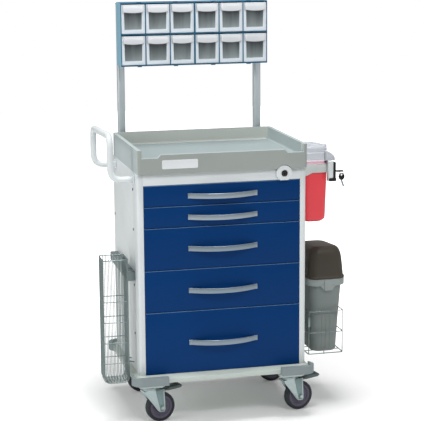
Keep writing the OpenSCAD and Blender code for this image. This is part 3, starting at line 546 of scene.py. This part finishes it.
WHITE = finish("powder_coat_white", srgb(220, 226, 227), 0.42, grain=700, depth=0.03)
SKIRT = finish("base_paint", srgb(194, 204, 197), 0.45, grain=700, depth=0.03)
# Painted light and shade: the four tray tones are one plastic, given to faces by the way they
# look; the floor tone is shaded, the back wall and side tones are lit
TRAY = moulded("tray_plastic", srgb(157, 164, 160))
TRAY_FLOOR_PAINTED_SHADE = moulded("tray_floor_painted_shade", srgb(158, 170, 171), 0.5)
TRAY_BACK_WALL_PAINTED_LIGHT = moulded("tray_back_wall_painted_light", srgb(187, 192, 187))
TRAY_SIDES_PAINTED_LIGHT = moulded("tray_sides_painted_light", srgb(182, 193, 193))
BLUE = finish("powder_coat_blue", srgb(1, 54, 110), 0.42, grain=700, depth=0.03,
              amount=0.18, **gloss(0.1))
# Painted highlight: a paler blue for the light caught along each drawer's top edge
BLUE_PAINTED_HIGHLIGHT = finish("blue_painted_highlight", srgb(74, 114, 158), 0.35, grain=700, depth=0.03)
BUMPER = finish("bumper_rubber", srgb(136, 147, 150), 0.6, grain=900, depth=0.06, **gloss(0.3))
ZINC = metal("zinc_plate", srgb(176, 190, 190), 0.38, stretch=(60, 60, 60), contrast=0.25)
# Painted shade: a darker copy of the zinc for the raised legs of the caster forks
ZINC_PAINTED_SHADE = metal("zinc_shaded", srgb(128, 146, 147), 0.36, stretch=(60, 60, 60), contrast=0.3)
STEEL = metal("slide_steel", srgb(178, 184, 188), 0.35, stretch=(90, 3, 90))
SATIN = metal("satin_aluminium", srgb(158, 170, 178), 0.36, stretch=(2, 90, 260))
# Painted shade: a darker copy of the satin aluminium for the pulls of the lower drawers
SATIN_PAINTED_SHADE = metal("satin_aluminium_painted_shade", srgb(138, 152, 162), 0.36, stretch=(2, 90, 260))
# Painted highlight: a paler copy of the satin aluminium for the upward faces of the pulls
SATIN_PAINTED_HIGHLIGHT = metal("satin_aluminium_painted_highlight", srgb(212, 221, 226), 0.4, stretch=(2, 90, 260))
POST = metal("post_aluminium", srgb(210, 219, 222), 0.42, stretch=(220, 220, 2),
             contrast=0.2)
WIRE = metal("plated_wire", srgb(130, 143, 142), 0.3, stretch=(40, 40, 40), contrast=0.2)
BRACKET = finish("bracket_paint", srgb(200, 206, 204), 0.4, grain=700, depth=0.03)
RAIL = finish("rail_grey", srgb(118, 131, 132), 0.4, grain=800)
BLACK = finish("black_plastic", srgb(24, 25, 27), 0.45, grain=1200, depth=0.05, **gloss(0.25))
BLACK_GLOSS = finish("black_lock", srgb(14, 14, 16), 0.25, grain=1500, depth=0.01)
PEDAL = finish("pedal_dark", srgb(78, 92, 92), 0.45, grain=1200, depth=0.05)
TYRE = finish("tyre_rubber", srgb(50, 53, 58), 0.6, grain=800, depth=0.1, **gloss(0.25))
HUB = finish("hub_nylon", srgb(96, 92, 108), 0.5, grain=900, depth=0.05, **gloss(0.25))
BIN = finish("bin_white", srgb(229, 238, 246), 0.32, grain=900, depth=0.01)
# Painted shade: a darker copy of the bin white for the finger lip, holding down the light it
# catches
BIN_LIP_PAINTED_SHADE = finish("bin_lip_painted_shade", srgb(200, 204, 208), 0.32, grain=900, depth=0.01)
WINDOW = smoked_window_painted_shade()
TEAL = finish("housing_teal", srgb(26, 100, 134), 0.42, grain=900, depth=0.03)
# Painted light: a paler copy of the housing teal for the lit outer side faces
TEAL_PAINTED_LIT = finish("housing_painted_lit", srgb(122, 178, 200), 0.4, grain=900, depth=0.03)
BIN_GREY = moulded("waste_grey", srgb(128, 137, 135), 0.5)
COLLAR = moulded("collar_grey", srgb(150, 160, 158), 0.5)
HOOD = finish("hood_brown", srgb(70, 65, 58), 0.42, grain=1000, depth=0.04, amount=0.25,
              **gloss(0.2))
RED = finish("sharps_red", srgb(238, 66, 76), 0.33, grain=900, depth=0.02, amount=0.16)
PINK = finish("sharps_rim", srgb(228, 190, 202), 0.35, grain=900, depth=0.02)
LID = finish("milky_lid", srgb(213, 217, 224), 0.35, grain=900, depth=0.02,
             **{"Transmission Weight": 0.2, "IOR": 1.4})
PLATE = finish("bare_label_plate", srgb(226, 230, 232), 0.3, grain=1500, depth=0.01)

# ---------------------------------------------------------------- cabinet and base

for _, side in SIDES:
    place(skin(f"side_panel_{side}", f"side_skin_{side}", 0.6), f"side_panel_{side}", WHITE)
place(skin("top_frame", "header_and_deck", 0.5), "top_frame", WHITE)
for sx, side in SIDES:
    grommets = []
    for y, z in [(HOLE_Y, level) for level in GROMMET_LEVELS] + [REAR_SCREW]:
        grommet = rod("grommet", (sx * (HALF_W - 0.2), y, z), (sx * (HALF_W + 1.4), y, z), 5.6)
        if y == HOLE_Y:
            carve(grommet, rod("bore", (sx * (HALF_W - 3), y, z), (sx * (HALF_W + 4), y, z),
                               HOLE_R))
        grommets.append(soften(grommet, 0.5, 2))
    place(join(grommets, f"hole_grommets_{side}"), f"side_panel_{side}", BLACK, hides=False)
place(skin("base_frame", "base_skirt", 0.9), "base_frame", SKIRT)

bumpers = skin("corner_bumpers", "soft_bumpers", 0)
for reach, steps, level in ((14, 6, lambda z: z > 219.5), (7, 4, lambda z: z < 186.5)):
    round_edges(bumpers, lambda a, b: all(
        level(p.z) and (abs(p.y) > 290.6 or abs(p.x) > 373.6) for p in (a, b)),
        reach, steps, clamp_overlap=True)
place(soften(bumpers, 1.0), "corner_bumpers", BUMPER)

# ---------------------------------------------------------------- worktop

tray = skin("worktop_tray", "worktop", 0)
round_edges(tray, lambda a, b: all(abs(p.z - FLOOR_Z) < 0.1 for p in (a, b)), 9, 5,
            clamp_overlap=True)
soften(tray, 2.0, 3)


# Painted light and shade: each face of the one tray plastic takes a tone by the way it looks.
# Front-facing faces are warm grey, darker on the outer skirt and paler on the back wall; the
# floor takes a shaded tone, the sides and tops a paler one
def tray_painted_shading(middle, normal):
    if normal.y < -0.3:
        return 0 if middle.y < -280 else 3
    return 2 if normal.z > 0.9 and abs(middle.z - FLOOR_Z) < 4 else 1


place(paint(tray, (TRAY, TRAY_SIDES_PAINTED_LIGHT, TRAY_FLOOR_PAINTED_SHADE, TRAY_BACK_WALL_PAINTED_LIGHT), tray_painted_shading), "worktop_tray")

label = outline("bare_label", bent([(-253, -288.6, 1076), (-106, -288.6, 1076),
                                    (-106, -288.6, 1112), (-253, -288.6, 1112)], 6,
                                   closed=True), (0, 3.1, 0))
inset_faces(label, lambda c, n: n.y < -0.9, 2, -0.5)
place(soften(label, 0.8, 3), "worktop_tray", PLATE, hides=False)

# ---------------------------------------------------------------- lock

place(skin("lock_barrel", "lock_boss", 3.0, 4), "lock_barrel", WHITE)
place(skin("lock_plug", "lock_core", 0.5), "lock_plug", BLACK_GLOSS)

# ---------------------------------------------------------------- drawers

for number in range(1, 6):
    face_plate = skin(f"drawer_{number}_front", f"drawer_face_{number}", 1.1, 3)
    top = max(v.co.z for v in face_plate.data.vertices) / MM
    # Painted highlight: the upward faces along the drawer's top edge take the paler blue
    paint(face_plate, (BLUE, BLUE_PAINTED_HIGHLIGHT), lambda c, n: n.z > 0.6 and top - c.z < 2)
    place(face_plate, f"drawer_{number}_front")
    reach = max(v.co.x for v in face_plate.data.vertices) / MM - 1.5
    # A thin strip of painted highlight just below the top edge of the front
    line = block("highlight_line", (-reach, FRONT_Y - 0.5, top - 2.4),
                 (reach, FRONT_Y + 1, top - 0.6))
    place(soften(line, 0.4, 2), f"drawer_{number}_front", BLUE_PAINTED_HIGHLIGHT, hides=False)
    pull = skin(f"drawer_{number}_handle", f"drawer_pull_{number}", 0.9, 3)
    # The pulls of the lower three drawers take the darker satin: painted shade
    satin, drop = (SATIN, PULL_DROP_SMALL) if number < 3 else (SATIN_PAINTED_SHADE, PULL_DROP_LARGE)
    levels = [v.co.z / MM for v in pull.data.vertices]
    middle = (min(levels) + max(levels)) / 2
    move_points(pull, lambda p: (p.x, p.y, middle + (p.z - middle) * PULL_SLIMMING - drop))
    # Painted highlight: the upward faces of the pull take the paler satin
    paint(pull, (satin, SATIN_PAINTED_HIGHLIGHT), lambda c, n: n.z > 0.3)
    place(pull, f"drawer_{number}_handle")

# ---------------------------------------------------------------- bin rack


def bin_model():
    """One tilt-out bin around its rod at the origin: body, recessed pane and finger lip."""
    half = 50.75
    arc = [(-half, -6 * math.sin(a), -6 * math.cos(a))
           for a in (k * math.pi / 12 for k in range(7))]
    body = outline("bin_body", arc + [(-half, -6, 118), (-half, 14, 118),
                                      (-half, 82, 83.8), (-half, 82, -6)], (2 * half, 0, 0))
    edit(body)
    pick_faces(body, lambda c, n: n.z > 0.3 and c.z > 80)
    bpy.ops.mesh.inset(thickness=2.5 * MM, use_even_offset=True)
    mesh = bmesh.from_edit_mesh(body.data)
    for v in {v for face in mesh.faces if face.select for v in face.verts if v.co.y < 0}:
        v.co.y = 1 * MM
    bmesh.update_edit_mesh(body.data)
    bpy.ops.mesh.extrude_region_move(TRANSFORM_OT_translate={"value": (0, 0, -0.068)})
    bpy.ops.mesh.select_all(action="DESELECT")
    pick_faces(body, lambda c, n: n.y < -0.995 and c.y < -5.5)
    bpy.ops.mesh.inset(thickness=8 * MM)
    mesh = bmesh.from_edit_mesh(body.data)
    for face in [f for f in mesh.faces if f.select]:
        for v in face.verts:
            v.co.x = math.copysign(39.5 if v.co.z > 0.05 else 38, v.co.x) * MM
            v.co.z = (91 if v.co.z > 0.05 else 11.5) * MM
    bmesh.update_edit_mesh(body.data)
    bpy.ops.mesh.extrude_region_move(TRANSFORM_OT_translate={"value": (0, 0.0045, 0)})
    bpy.ops.transform.resize(value=(0.97, 1, 0.97), center_override=(0, 0, 0.048))
    bpy.ops.mesh.select_all(action="DESELECT")
    done()
    soften(body, 0.9, 2, 30)
    paint(body, (BIN, WINDOW), lambda c, n: (n.y < -0.9 and abs(c.x) < 38.5 and 12 < c.z < 91
                                             and c.y > -3))
    lip_width, cuts = 2 * LIP_HALF_W, 12
    lip = outline("bin_lip", [(-LIP_HALF_W, y, z) for y, z in (
        (-5.5, 117.5), (-10, 117.5), (-14.5, 103), (-17.4, 91), (-18, 88), (-15.6, 87),
        (-14, 92), (-8, 109), (-5.5, 111))], (lip_width, 0, 0))
    for cut in range(1, cuts):
        edit(lip)
        bpy.ops.mesh.select_all(action="SELECT")
        bpy.ops.mesh.bisect(plane_co=((-LIP_HALF_W + lip_width * cut / cuts) * MM, 0, 0),
                            plane_no=(1, 0, 0))
        done()
    cheek = outline("bin_cheek", [(-LIP_HALF_W, y, z) for y, z in (
        (-5.5, 117), (-9.6, 117), (-17, 91), (-5.5, 97))], (2.2, 0, 0))
    other = twin(cheek, "bin_cheek_2", Matrix.Scale(-1, 4, (1, 0, 0)))
    lip = join([lip, cheek, other], "bin_lip")
    move_points(lip, lambda p: (p.x, p.y, p.z - LIP_SAG * (1 - (p.x / LIP_HALF_W) ** 2)
                                * min(1, max(0, (114 - p.z) / 22))))
    soften(lip, 0.6, 2, 35)
    # The lip takes the darker white: painted shade
    lip.data.materials.append(BIN_LIP_PAINTED_SHADE)
    return join([body, lip], "bin_model")


model = bin_model()
for number in range(1, 13):
    column, row = (number - 1) % 6, 1 - (number - 1) // 6
    x = (column // 3 - 0.5) * MODULE_W + (column % 3 - 1) * CELL_PITCH
    z = RACK_Z + 3 + row * CELL_RISE + 7.5
    place(twin(model, f"storage_bin_{number}", shift(x, ROD_Y, z)), f"tilt_bin_{number}")
bpy.data.objects.remove(model)

housing = skin("bin_rack", "rack_housings", 0)
edit(housing, "VERT")
mesh = bmesh.from_edit_mesh(housing.data)
for v in mesh.verts:
    v.select_set(v.co.y > 304.1 * MM)
mesh.select_flush_mode()
bmesh.update_edit_mesh(housing.data)
bpy.ops.mesh.delete(type="VERT")
done()
soften(housing, 0.5, 2)
# The outer side faces of the housings take the paler teal: painted light
paint(housing, (TEAL, TEAL_PAINTED_LIT), lambda c, n: abs(n.x) > 0.9 and abs(c.x) > 319.5)
place(housing, "bin_rack")

posts = []
for sx, _ in SIDES:
    post = block("post", (sx * POST_X - POST_HALF, POST_Y, 760),
                 (sx * POST_X + POST_HALF, POST_Y + 2 * POST_HALF, 1699))
    round_edges(post, lambda a, b: abs(a.z - b.z) > 100, 4, 4)
    inset_faces(post, lambda c, n: abs(n.y) > 0.99, 7, -1.2)
    posts.append(soften(post, 0.8, 2))
place(join(posts, "rack_posts"), "bin_rack", POST, hides=False)

caps = []
for sx, _ in SIDES:
    for z in (757, 1698):
        cap = block("cap", (sx * POST_X - POST_HALF - 0.5, POST_Y - 0.4, z),
                    (sx * POST_X + POST_HALF + 0.5, POST_Y + 2 * POST_HALF + 0.4, z + 4))
        caps.append(soften(cap, 1.4, 3))
place(join(caps, "post_caps"), "bin_rack", BLACK, hides=False)

clips = []
for x in (-240, -82, 82, 240):
    for z0, z1 in ((1706, 1712), (1436.5, 1441)):
        clip = block("clip", (x - 9, 208, z0), (x + 9, 222, z1))
        clips.append(soften(clip, 1.5, 2))
place(join(clips, "rack_clips"), "bin_rack", TEAL, hides=False)

# ---------------------------------------------------------------- push handle

grip = bent([(-352, -GRIP_Y, GRIP_FOOT_Z), (GRIP_X, -GRIP_Y, GRIP_FOOT_Z),
             (GRIP_X, -GRIP_Y, GRIP_FRONT_Z), (GRIP_X, GRIP_Y, GRIP_REAR_Z),
             (GRIP_X, GRIP_Y, GRIP_FOOT_Z), (-352, GRIP_Y, GRIP_FOOT_Z)], 48, 10)
tube = wires("push_tube", [grip], 13.2, 8)
sleeve = rod("grip_sleeve", (GRIP_X, -160, 1202.9), (GRIP_X, 160, 1188.1), 14.4, 32)
soften(sleeve, 1.2, 3)
flanges = []
for sy in (-1, 1):
    flange = rod("flange", (-353.2, sy * GRIP_Y, GRIP_FOOT_Z),
                 (-358.5, sy * GRIP_Y, GRIP_FOOT_Z), 21.5, 40)
    flanges.append(soften(flange, 1.4, 3))
    for angle in (45, 135, 225, 315):
        y = sy * GRIP_Y + 17 * math.cos(math.radians(angle))
        z = GRIP_FOOT_Z + 17 * math.sin(math.radians(angle))
        screw = rod("screw", (-358, y, z), (-359.6, y, z), 2.6, 12)
        flanges.append(soften(screw, 0.5, 2))
place(join([tube, sleeve] + flanges, "push_handle_tube"), "push_handle", WHITE)

# ---------------------------------------------------------------- rail and basket

place(skin("accessory_rail", "side_rail", 1.2, 3), "accessory_rail", RAIL)

x0, x1, y0, y1 = -487.5, -386.5, -220.5, -116.5
low, top = 182.5, 701
uprights = []
for k in range(9):
    y = y0 + 4 + (y1 - y0 - 8) * k / 8
    uprights.append(bent([(x0, y, top), (x0, y, low), (x1, y, low), (x1, y, top)], 26, 5))
    x = x0 + 4 + (x1 - x0 - 8) * k / 8
    uprights.append(bent([(x, y0, top), (x, y0, low + 2), (x, y1, low + 2), (x, y1, top)],
                         26, 5))
bands = [ring(x0 - 0.5, x1 + 0.5, y0 - 0.5, y1 + 0.5, 181 + 86.5 * k, 9)
         for k in (1, 2, 3, 4)]
basket = [wires("basket_uprights", uprights, 1.5, 1),
          wires("basket_bands", bands, 1.8, 2, closed=True),
          wires("basket_rim", [ring(x0 - 0.2, x1 + 0.2, y0 - 0.2, y1 + 0.2, 700.5, 9)], 2.4,
                2, closed=True)]
holders = []
for y in (-198, -139):
    holders.append(bent([(-387, y, 700), (-384, y, 646), (-356, y, 646), (-355, y, 626)], 4))
    holders.append(bent([(-387, y - 9, 267.5), (-355, y, 262), (-387, y + 9, 267.5)], 5))
basket.append(wires("basket_hooks", holders, 1.7, 2))
place(join(basket, "round_wire_basket"), "wire_basket", WIRE)

# ---------------------------------------------------------------- waste bin, hood, holder

hx0, hx1, hy0, hy1 = 400.5, 553.5, -161.5, 119.5
frames = [ring(hx0, hx1, hy0, hy1, z, 9) for z in (225.3, 317.8, 410.3)]
legs = []
for y in (hy0 + 1.5, hy1 - 1.5):
    legs.append(bent([(hx1 - 1.5, y, 410), (hx1 - 1.5, y, 225.3), (hx0 + 1.5, y, 225.3),
                      (hx0 + 1.5, y, 410)], 6))
for y in (-105, -49, 7, 63):
    legs.append([(hx0, y, 225.3), (hx1, y, 225.3)])
legs.append([(470, hy0 + 2, 221), (470, hy0 + 2, 239)])
holder = [wires("holder_frames", frames, 2.2, 2, closed=True),
          wires("holder_legs", legs, 1.9, 2)]
holder.append(soften(block("clip", (396.5, -166, 345), (407.5, -157, 389)), 2.5, 3))
for y in (-111, 69):
    holder.append(soften(block("pad", (353, y - 15, 298), (357, y + 15, 338)), 1.0, 2))
    holder.append(soften(block("arm", (356, y - 8, 311), (402, y + 8, 325)), 2.0, 3))
    for z in (304, 332):
        screw = rod("screw", (357, y, z), (359, y, z), 3.4, 6)
        holder.append(soften(screw, 0.4, 1))
place(join(holder, "round_wire_holder"), "waste_bin_holder", WIRE)

bin_body = loft("waste_body", WASTE_MID, 34, [
    (228, 103, 230, -4), (229.5, 109, 236, -4), (233, 112, 239, -4), (395, 128, 256, -2),
    (397.5, 125, 253, -2), (400, 129, 257, -2), (516, 141.5, 265.5), (519, 142, 266),
    (520, 161, 285), (521.5, 165, 289), (549, 166, 290), (550, 164, 288), (550, 138, 262),
    (545, 137, 261), (516, 136.5, 260.5), (234, 107.5, 234.5, -4), (231, 101, 228, -4)], 8)
soften(bin_body, 0.8, 2, 40, 50)
paint(bin_body, (BIN_GREY, COLLAR), lambda c, n: c.z > 519.5 and n.z > -0.9)
ribs = []
for x in (467, 485, 503):
    rib = block("rib", (x - 4.5, -150.2, 240), (x + 4.5, -131, 394))
    move_points(rib, lambda p: (p.x, p.y + (396 - p.z) * 0.0525, p.z))
    ribs.append(soften(rib, 1.2, 3))
    ribs.append(twin(ribs[-1], "rib_back",
                     shift(0, 2 * WASTE_MID[1], 0) @ Matrix.Scale(-1, 4, (0, 1, 0))))
for rib in ribs:
    rib.data.materials.append(BIN_GREY)
pad = soften(block("collar_pad", (468, -170.8, 502), (504.5, -157, 548)), 2.0, 3)
apron = outline("collar_apron", [(447, -167, 525), (455, -167, 517), (464, -167, 508),
                                 (468, -167, 504), (504, -167, 504), (508, -167, 508),
                                 (515, -167, 517), (523, -167, 525)], (0, 15, 0))
for extra in (pad, soften(apron, 1.2, 2)):
    extra.data.materials.append(COLLAR)
    ribs.append(extra)
place(join([bin_body] + ribs, "waste_bin_shell"), "waste_bin")

dome = [(550.3, 160, 284), (550.8, 166, 290), (557, 166, 290), (558.6, 162, 286),
        (562, 157, 281), (580, 154, 278), (600, 150.5, 274), (616, 147, 270),
        (630, 143.5, 266), (642, 140, 261), (652, 135, 255), (660, 129, 248),
        (667, 121, 239), (672, 112, 229), (675.6, 100, 216), (677.4, 86, 200)]
inner = [(z - 2.5 * (z > 640), w - 5 - 2 * (z > 620), l - 5 - 2 * (z > 620))
         for z, w, l in dome[4:]]
hood = loft("hood_dome", WASTE_MID, 42, dome, 10)
carve(hood, loft("hood_hollow", WASTE_MID, 40, [(549, 151, 275)] + inner, 10))
carve(hood, block("mouth", (517, -94, 584), (600, 52, 646)))
move_points(hood, lambda p: (p.x, p.y, p.z - 0.09 * (p.y - WASTE_MID[1])
                             * max(0, (p.z - 560) / 118)))
soften(hood, 0.8, 2, 50, 50)
flap = loft("swing_flap", (0, 0), 8, [(0, 60, 142), (2.2, 60, 142)], 4)
flap.data.transform(shift(551, WASTE_MID[1], 615) @ Matrix.Rotation(math.radians(76.7), 4, "Y"))
soften(flap, 0.7, 2)
place(join([hood, flap], "waste_hood_dome"), "waste_hood", HOOD)

# ---------------------------------------------------------------- sharps container


def hinge_rod(name, x0, x1, radius, sides):
    return rod(name, (x0, HINGE_Y, HINGE_Z), (x1, HINGE_Y, HINGE_Z), radius, sides)


body = loft("sharps_body", SHARPS_MID, 24, [
    (805, 74, 226), (806.5, 80, 232), (811, 90, 243), (817, 100, 254), (826, 102, 256),
    (1044, 114, 270), (1049.5, 114, 270), (1050.2, 121, 277), (1052, 122, 278),
    (1055, 122, 278), (1056, 120, 276), (1056, 110, 266), (1050, 109, 265),
    (826, 97, 251), (812, 86, 238), (808, 74, 226)], 8)
soften(body, 0.8, 2, 40, 50)
hinges = []
for x in (388, 448):
    lug = hinge_rod("lug", x - 6, x + 6, 4.5, 20)
    arm = block("arm", (x - 6, 82, 1050), (x + 6, 94.5, 1058))
    hinges += [soften(lug, 0.6, 2), soften(arm, 0.8, 2)]
tub = join([body] + hinges, "sharps_tub")
place(paint(tub, (RED, PINK), lambda c, n: c.z > 1049.5), "sharps_container")

lid = loft("lid_shell", SHARPS_MID, 30, [
    (1056.5, 116, 272), (1057.5, 118, 274), (1065, 118, 274), (1066.5, 114, 269, 0, 1),
    (1070, 113, 266, 0.5, 1), (1096, 113, 262, 2, 2), (1099, 109, 257, 3.5, 3),
    (1112, 105, 252, 6, 2), (1118, 100, 246, 8, 1), (1122.5, 91, 238, 11, 0),
    (1125.5, 79, 226, 13, -2), (1126.5, 67, 214, 14, -3)], 8)
details = []
for y in (-158, -116, -70, -24, 22):
    bar = block("lid_rib", (400, y - 4, 1100), (475, y + 4, 1129.8))
    details.append(soften(bar, 3.5, 3))
for fall in [lid] + details:
    move_points(fall, lambda p: (p.x, p.y, p.z - 0.085 * max(0, p.y + 165)
                                 * min(1, max(0, (p.z - 1098) / 14))))
ear = outline("lid_ear", [(458, -199, 1066), (458, -199, 1107), (471, -199, 1104),
                          (484, -199, 1096), (494, -199, 1087), (499.5, -199, 1077),
                          (500, -199, 1066)], (0, 26, 0))
details.append(soften(ear, 3, 3))
for x in (405, 431):
    knuckle = hinge_rod("knuckle", x - 10, x + 10, 4.6, 20)
    strap = block("strap", (x - 10, 76, 1057), (x + 10, HINGE_Y, 1062))
    details += [soften(knuckle, 0.6, 2), soften(strap, 0.8, 2)]
details.append(soften(hinge_rod("pin", 382, 454, 2.5, 16), 0.5, 2))
soften(lid, 1.2, 2, 25, 50)
lid = join([lid] + details, "sharps_lid_shell")
paint(lid, (LID, PINK), lambda c, n: c.z < 1066.5 and abs(n.z) < 0.9)
place(lid, "sharps_lid")
# Painted shade: a black block stands for the shaded inside of a small slot
slot_shade = soften(block("lid_slot_shade", (454, -194.2, 1058), (464, -190, 1062.5)), 0.8, 2)
place(slot_shade, "sharps_lid", BLACK, hides=False)

place(skin("sharps_bracket", "sharps_band", 0.6), "sharps_bracket", BRACKET)
latch = soften(block("latch_case", (466.8, -211.5, 992), (489, -190, 1065)), 4, 4)
inset_faces(latch, lambda c, n: n.y < -0.99, 2.5, -1.2)
place(latch, "sharps_bracket", WHITE, hides=False)
latch_dark = [soften(block("latch_gap", (488.5, -210, 986), (500.4, -186.4, 1059)), 2.5, 3),
              soften(block("latch_foot", (471, -212, 979), (502.5, -190, 993.5)), 4, 3)]
gusset = outline("band_gusset", [(360, -196.4, 1052), (360, -196.4, 1000), (381, -196.4, 1006),
                                 (418, -196.4, 1023.5), (418, -196.4, 1052)], (0, 4, 0))
place(soften(gusset, 0.8, 2), "sharps_bracket", BRACKET, hides=False)
place(join(latch_dark, "latch_side"), "sharps_bracket", BLACK, hides=False)

key = [soften(rod("key_neck", (496, -197, 1020), (508, -197, 1020), 3.6, 20), 0.6, 2)]
bow = loft("key_bow", (520.5, -197), 6, [(1017, 30, 20), (1022, 30, 20)], 6)
key.append(soften(bow, 1.2, 3))
hang = outline("spare_bow", oval(529, -198.6, 996, 13, 15, 24), (0, 3.2, 0))
carve(hang, rod("bow_hole", (529, -204, 1003), (529, -190, 1003), 3.8, 20))
key.append(soften(hang, 0.7, 2))
metal_key = [wires("key_ring", [oval(529, -197, 1011, 9, 9, 28)], 0.9, 2, closed=True)]
blade = outline("spare_blade", [(524.5, -197.6, 984), (531, -197.6, 984), (541, -197.6, 957),
                                (538, -197.6, 951), (533, -197.6, 957), (529, -197.6, 968)],
                (0, 1.5, 0))
metal_key.append(soften(blade, 0.3, 1))
place(join(key, "key_heads"), "sharps_key", BLACK)
place(join(metal_key, "key_metal"), "sharps_key", SATIN, hides=False)

# ---------------------------------------------------------------- casters

tyre_profile = [(49.6, -15.4), (52, -15.9), (56, -16), (59.5, -14.6), (61.6, -12),
                (62.4, -8), (62.5, -3), (62.5, 3), (62.4, 8), (61.6, 12), (59.5, 14.6),
                (56, 16), (52, 15.9), (49.6, 15.4)]
half_hub = [(4.1, 18.6), (9, 18.6), (11, 17.6), (14.5, 15.5), (15.5, 9), (22, 7.5),
            (24, 9.5), (31, 9.8), (33, 7.8), (38, 8.2), (40, 12), (43, 13.4), (49.4, 13.2)]
hub_profile = [(r, -o) for r, o in half_hub] + [(r, o) for r, o in reversed(half_hub)]
tyre = soften(turned("tyre", tyre_profile, 72), 0, shade=50)
tyre.data.materials.append(TYRE)
hub = soften(turned("hub", hub_profile, 72), 0, shade=30)
hub.data.materials.append(HUB)
wheel = join([tyre, hub], "wheel_model")


def stem_at(sx, sy):
    """From a caster drawn around the origin to its corner of the base."""
    return shift(sx * STEM_X, sy * STEM_Y, 0) @ Matrix.Rotation(TURN, 4, "Z")


def on_stem(piece, stem, width, segments):
    piece.data.transform(stem)
    return soften(piece, width, segments)


for sx, side in SIDES:
    for sy, end in ((-1, "front"), (1, "rear")):
        stem = stem_at(sx, sy)
        place(twin(wheel, f"rolling_{end}_{side}", stem @ shift(TRAIL, 0, WHEEL_R)),
              f"wheel_{end}_{side}")
        node = f"fork_{end}_{side}"
        parts = [skin(node, f"fork_plates_{end}_{side}", 0.8)]
        legs = []
        for face_y in (-24.6, 21.6):
            leg = outline("leg_rib", [(16, face_y, 140), (50, face_y, 140), (53.5, face_y, 66),
                                      (52, face_y, 48), (38, face_y, 48), (33, face_y, 66)],
                          (0, 3, 0))
            legs.append(on_stem(leg, stem, 1.0, 2))
        for face_y in (-30.5, 30.5):
            nut = rod("axle_nut", (TRAIL, face_y - 2.5, WHEEL_R), (TRAIL, face_y + 2.5, WHEEL_R),
                      8.4, 6)
            parts.append(on_stem(nut, stem, 0.7, 2))
        for radius, z in ((31, 145.5), (28.5, 150.3)):
            race = rod("race", (0, 0, z - 1.4), (0, 0, z + 1.4), radius, 48)
            parts.append(on_stem(race, stem, 1.0, 3))
        place(join(parts, f"fork_body_{end}_{side}"), node, ZINC)
        # The raised fork legs take the darker zinc: painted shade
        place(join(legs, f"fork_legs_{end}_{side}"), node, ZINC_PAINTED_SHADE, hides=False)
bpy.data.objects.remove(wheel)

for sx, side in SIDES:
    parts = [skin(f"brake_pedal_{side}", f"pedal_{side}", 1.0, 2)]
    for k in range(5):
        x = 88 + 9 * k
        z = 145 + 0.078 * (x - 82)
        cleat = block("cleat", (x - 1.5, -18, z), (x + 1.5, 18, z + 2.2))
        parts.append(on_stem(cleat, stem_at(sx, -1), 0.7, 2))
    place(join(parts, f"pedal_tread_{side}"), f"brake_pedal_{side}", PEDAL)

# ---------------------------------------------------------------- CAD nodes that stay

for node, finish_of in {"back_panel": WHITE, "slide_rails": STEEL, "lock_bar": STEEL,
                        "mounting_hardware": ZINC,
                        **{f"drawer_{n}_box": STEEL for n in range(1, 6)}}.items():
    NODES[node].data.materials.clear()
    NODES[node].data.materials.append(finish_of)

# ---------------------------------------------------------------- studio


def lamp(name, where, size, power, target=(0, 0, 0.75)):
    bpy.ops.object.light_add(type="AREA", location=where)
    light = bpy.context.object
    light.name = name
    light.data.shape = "DISK"
    light.data.size = size
    light.data.energy = power
    light.rotation_euler = (Vector(target) - Vector(where)).to_track_quat("-Z", "Y").to_euler()


lamp("left_light", (-5.0, -1.6, 2.9), 2.6, 102)
lamp("front_light", (0.9, -4.6, 4.8), 1.4, 104)
lamp("top_light", (0.1, -0.3, 8.0), 3.2, 400, target=(0, 0, 0))

world = bpy.data.worlds.new("studio_air")
bpy.context.scene.world = world
world.use_nodes = True
air = world.node_tree
path = add(air, "LightPath")
mirrored = add(air, "Math", {0: path.outputs["Is Glossy Ray"], 1: GLOSS_LEVEL},
               operation="MULTIPLY")
seen = add(air, "Math", {0: path.outputs["Is Camera Ray"], 1: mirrored.outputs[0]},
           operation="MAXIMUM")
level = add(air, "Math", {0: seen.outputs[0], 1: AIR_LEVEL}, operation="MAXIMUM")
air.links.new(level.outputs[0], air.nodes["Background"].inputs["Strength"])
air.nodes["Background"].inputs["Color"].default_value = (1, 1, 1, 1)

bpy.ops.mesh.primitive_plane_add(size=16, location=(0, 2, 0))
floor = named("studio_floor")
floor_paint = finish("pale_floor", srgb(246, 246, 246), 0.9, grain=60, depth=0.002,
                     amount=0.01, **gloss(0.1))
sheet = floor_paint.node_tree
# Painted shade: seen by the camera the floor glows white, and the glow fades towards the centre
# given near the top, so a dark pool is painted around the cart over its real shadow from the
# lamps
spot = add(sheet, "TexCoord").outputs["Object"]
away = add(sheet, "VectorMath", {0: spot, 1: SHADE_POOL_CENTRE}, operation="DISTANCE")
shade_pool_fade = add(sheet, "MapRange", {"Value": away.outputs["Value"], "From Min": 0.5,
                               "From Max": 1.4, "To Min": 0.09, "To Max": 1.0},
           interpolation_type="SMOOTHSTEP")
glow_path = add(sheet, "LightPath")
glow = add(sheet, "Math", {0: glow_path.outputs["Is Camera Ray"], 1: shade_pool_fade.outputs["Result"]},
           operation="MULTIPLY")
surface = sheet.nodes["Principled BSDF"]
surface.inputs["Emission Color"].default_value = (1, 1, 1, 1)
sheet.links.new(glow.outputs[0], surface.inputs["Emission Strength"])
floor.data.materials.append(floor_paint)

bpy.ops.object.camera_add(location=Vector((-1441.8, -5998.2, 2045.1)) * MM)
camera = bpy.context.object
camera.name = "photo_camera"
right = Vector((0.97131, -0.23775, -0.00678))
up = Vector((0.05198, 0.18437, 0.98148))
camera.rotation_euler = Matrix((right, up, right.cross(up))).transposed().to_euler()
camera.data.sensor_width = 36
camera.data.lens = 126.35
camera.data.clip_end = 60
bpy.context.scene.camera = camera
bpy.context.scene.view_settings.view_transform = "Standard"
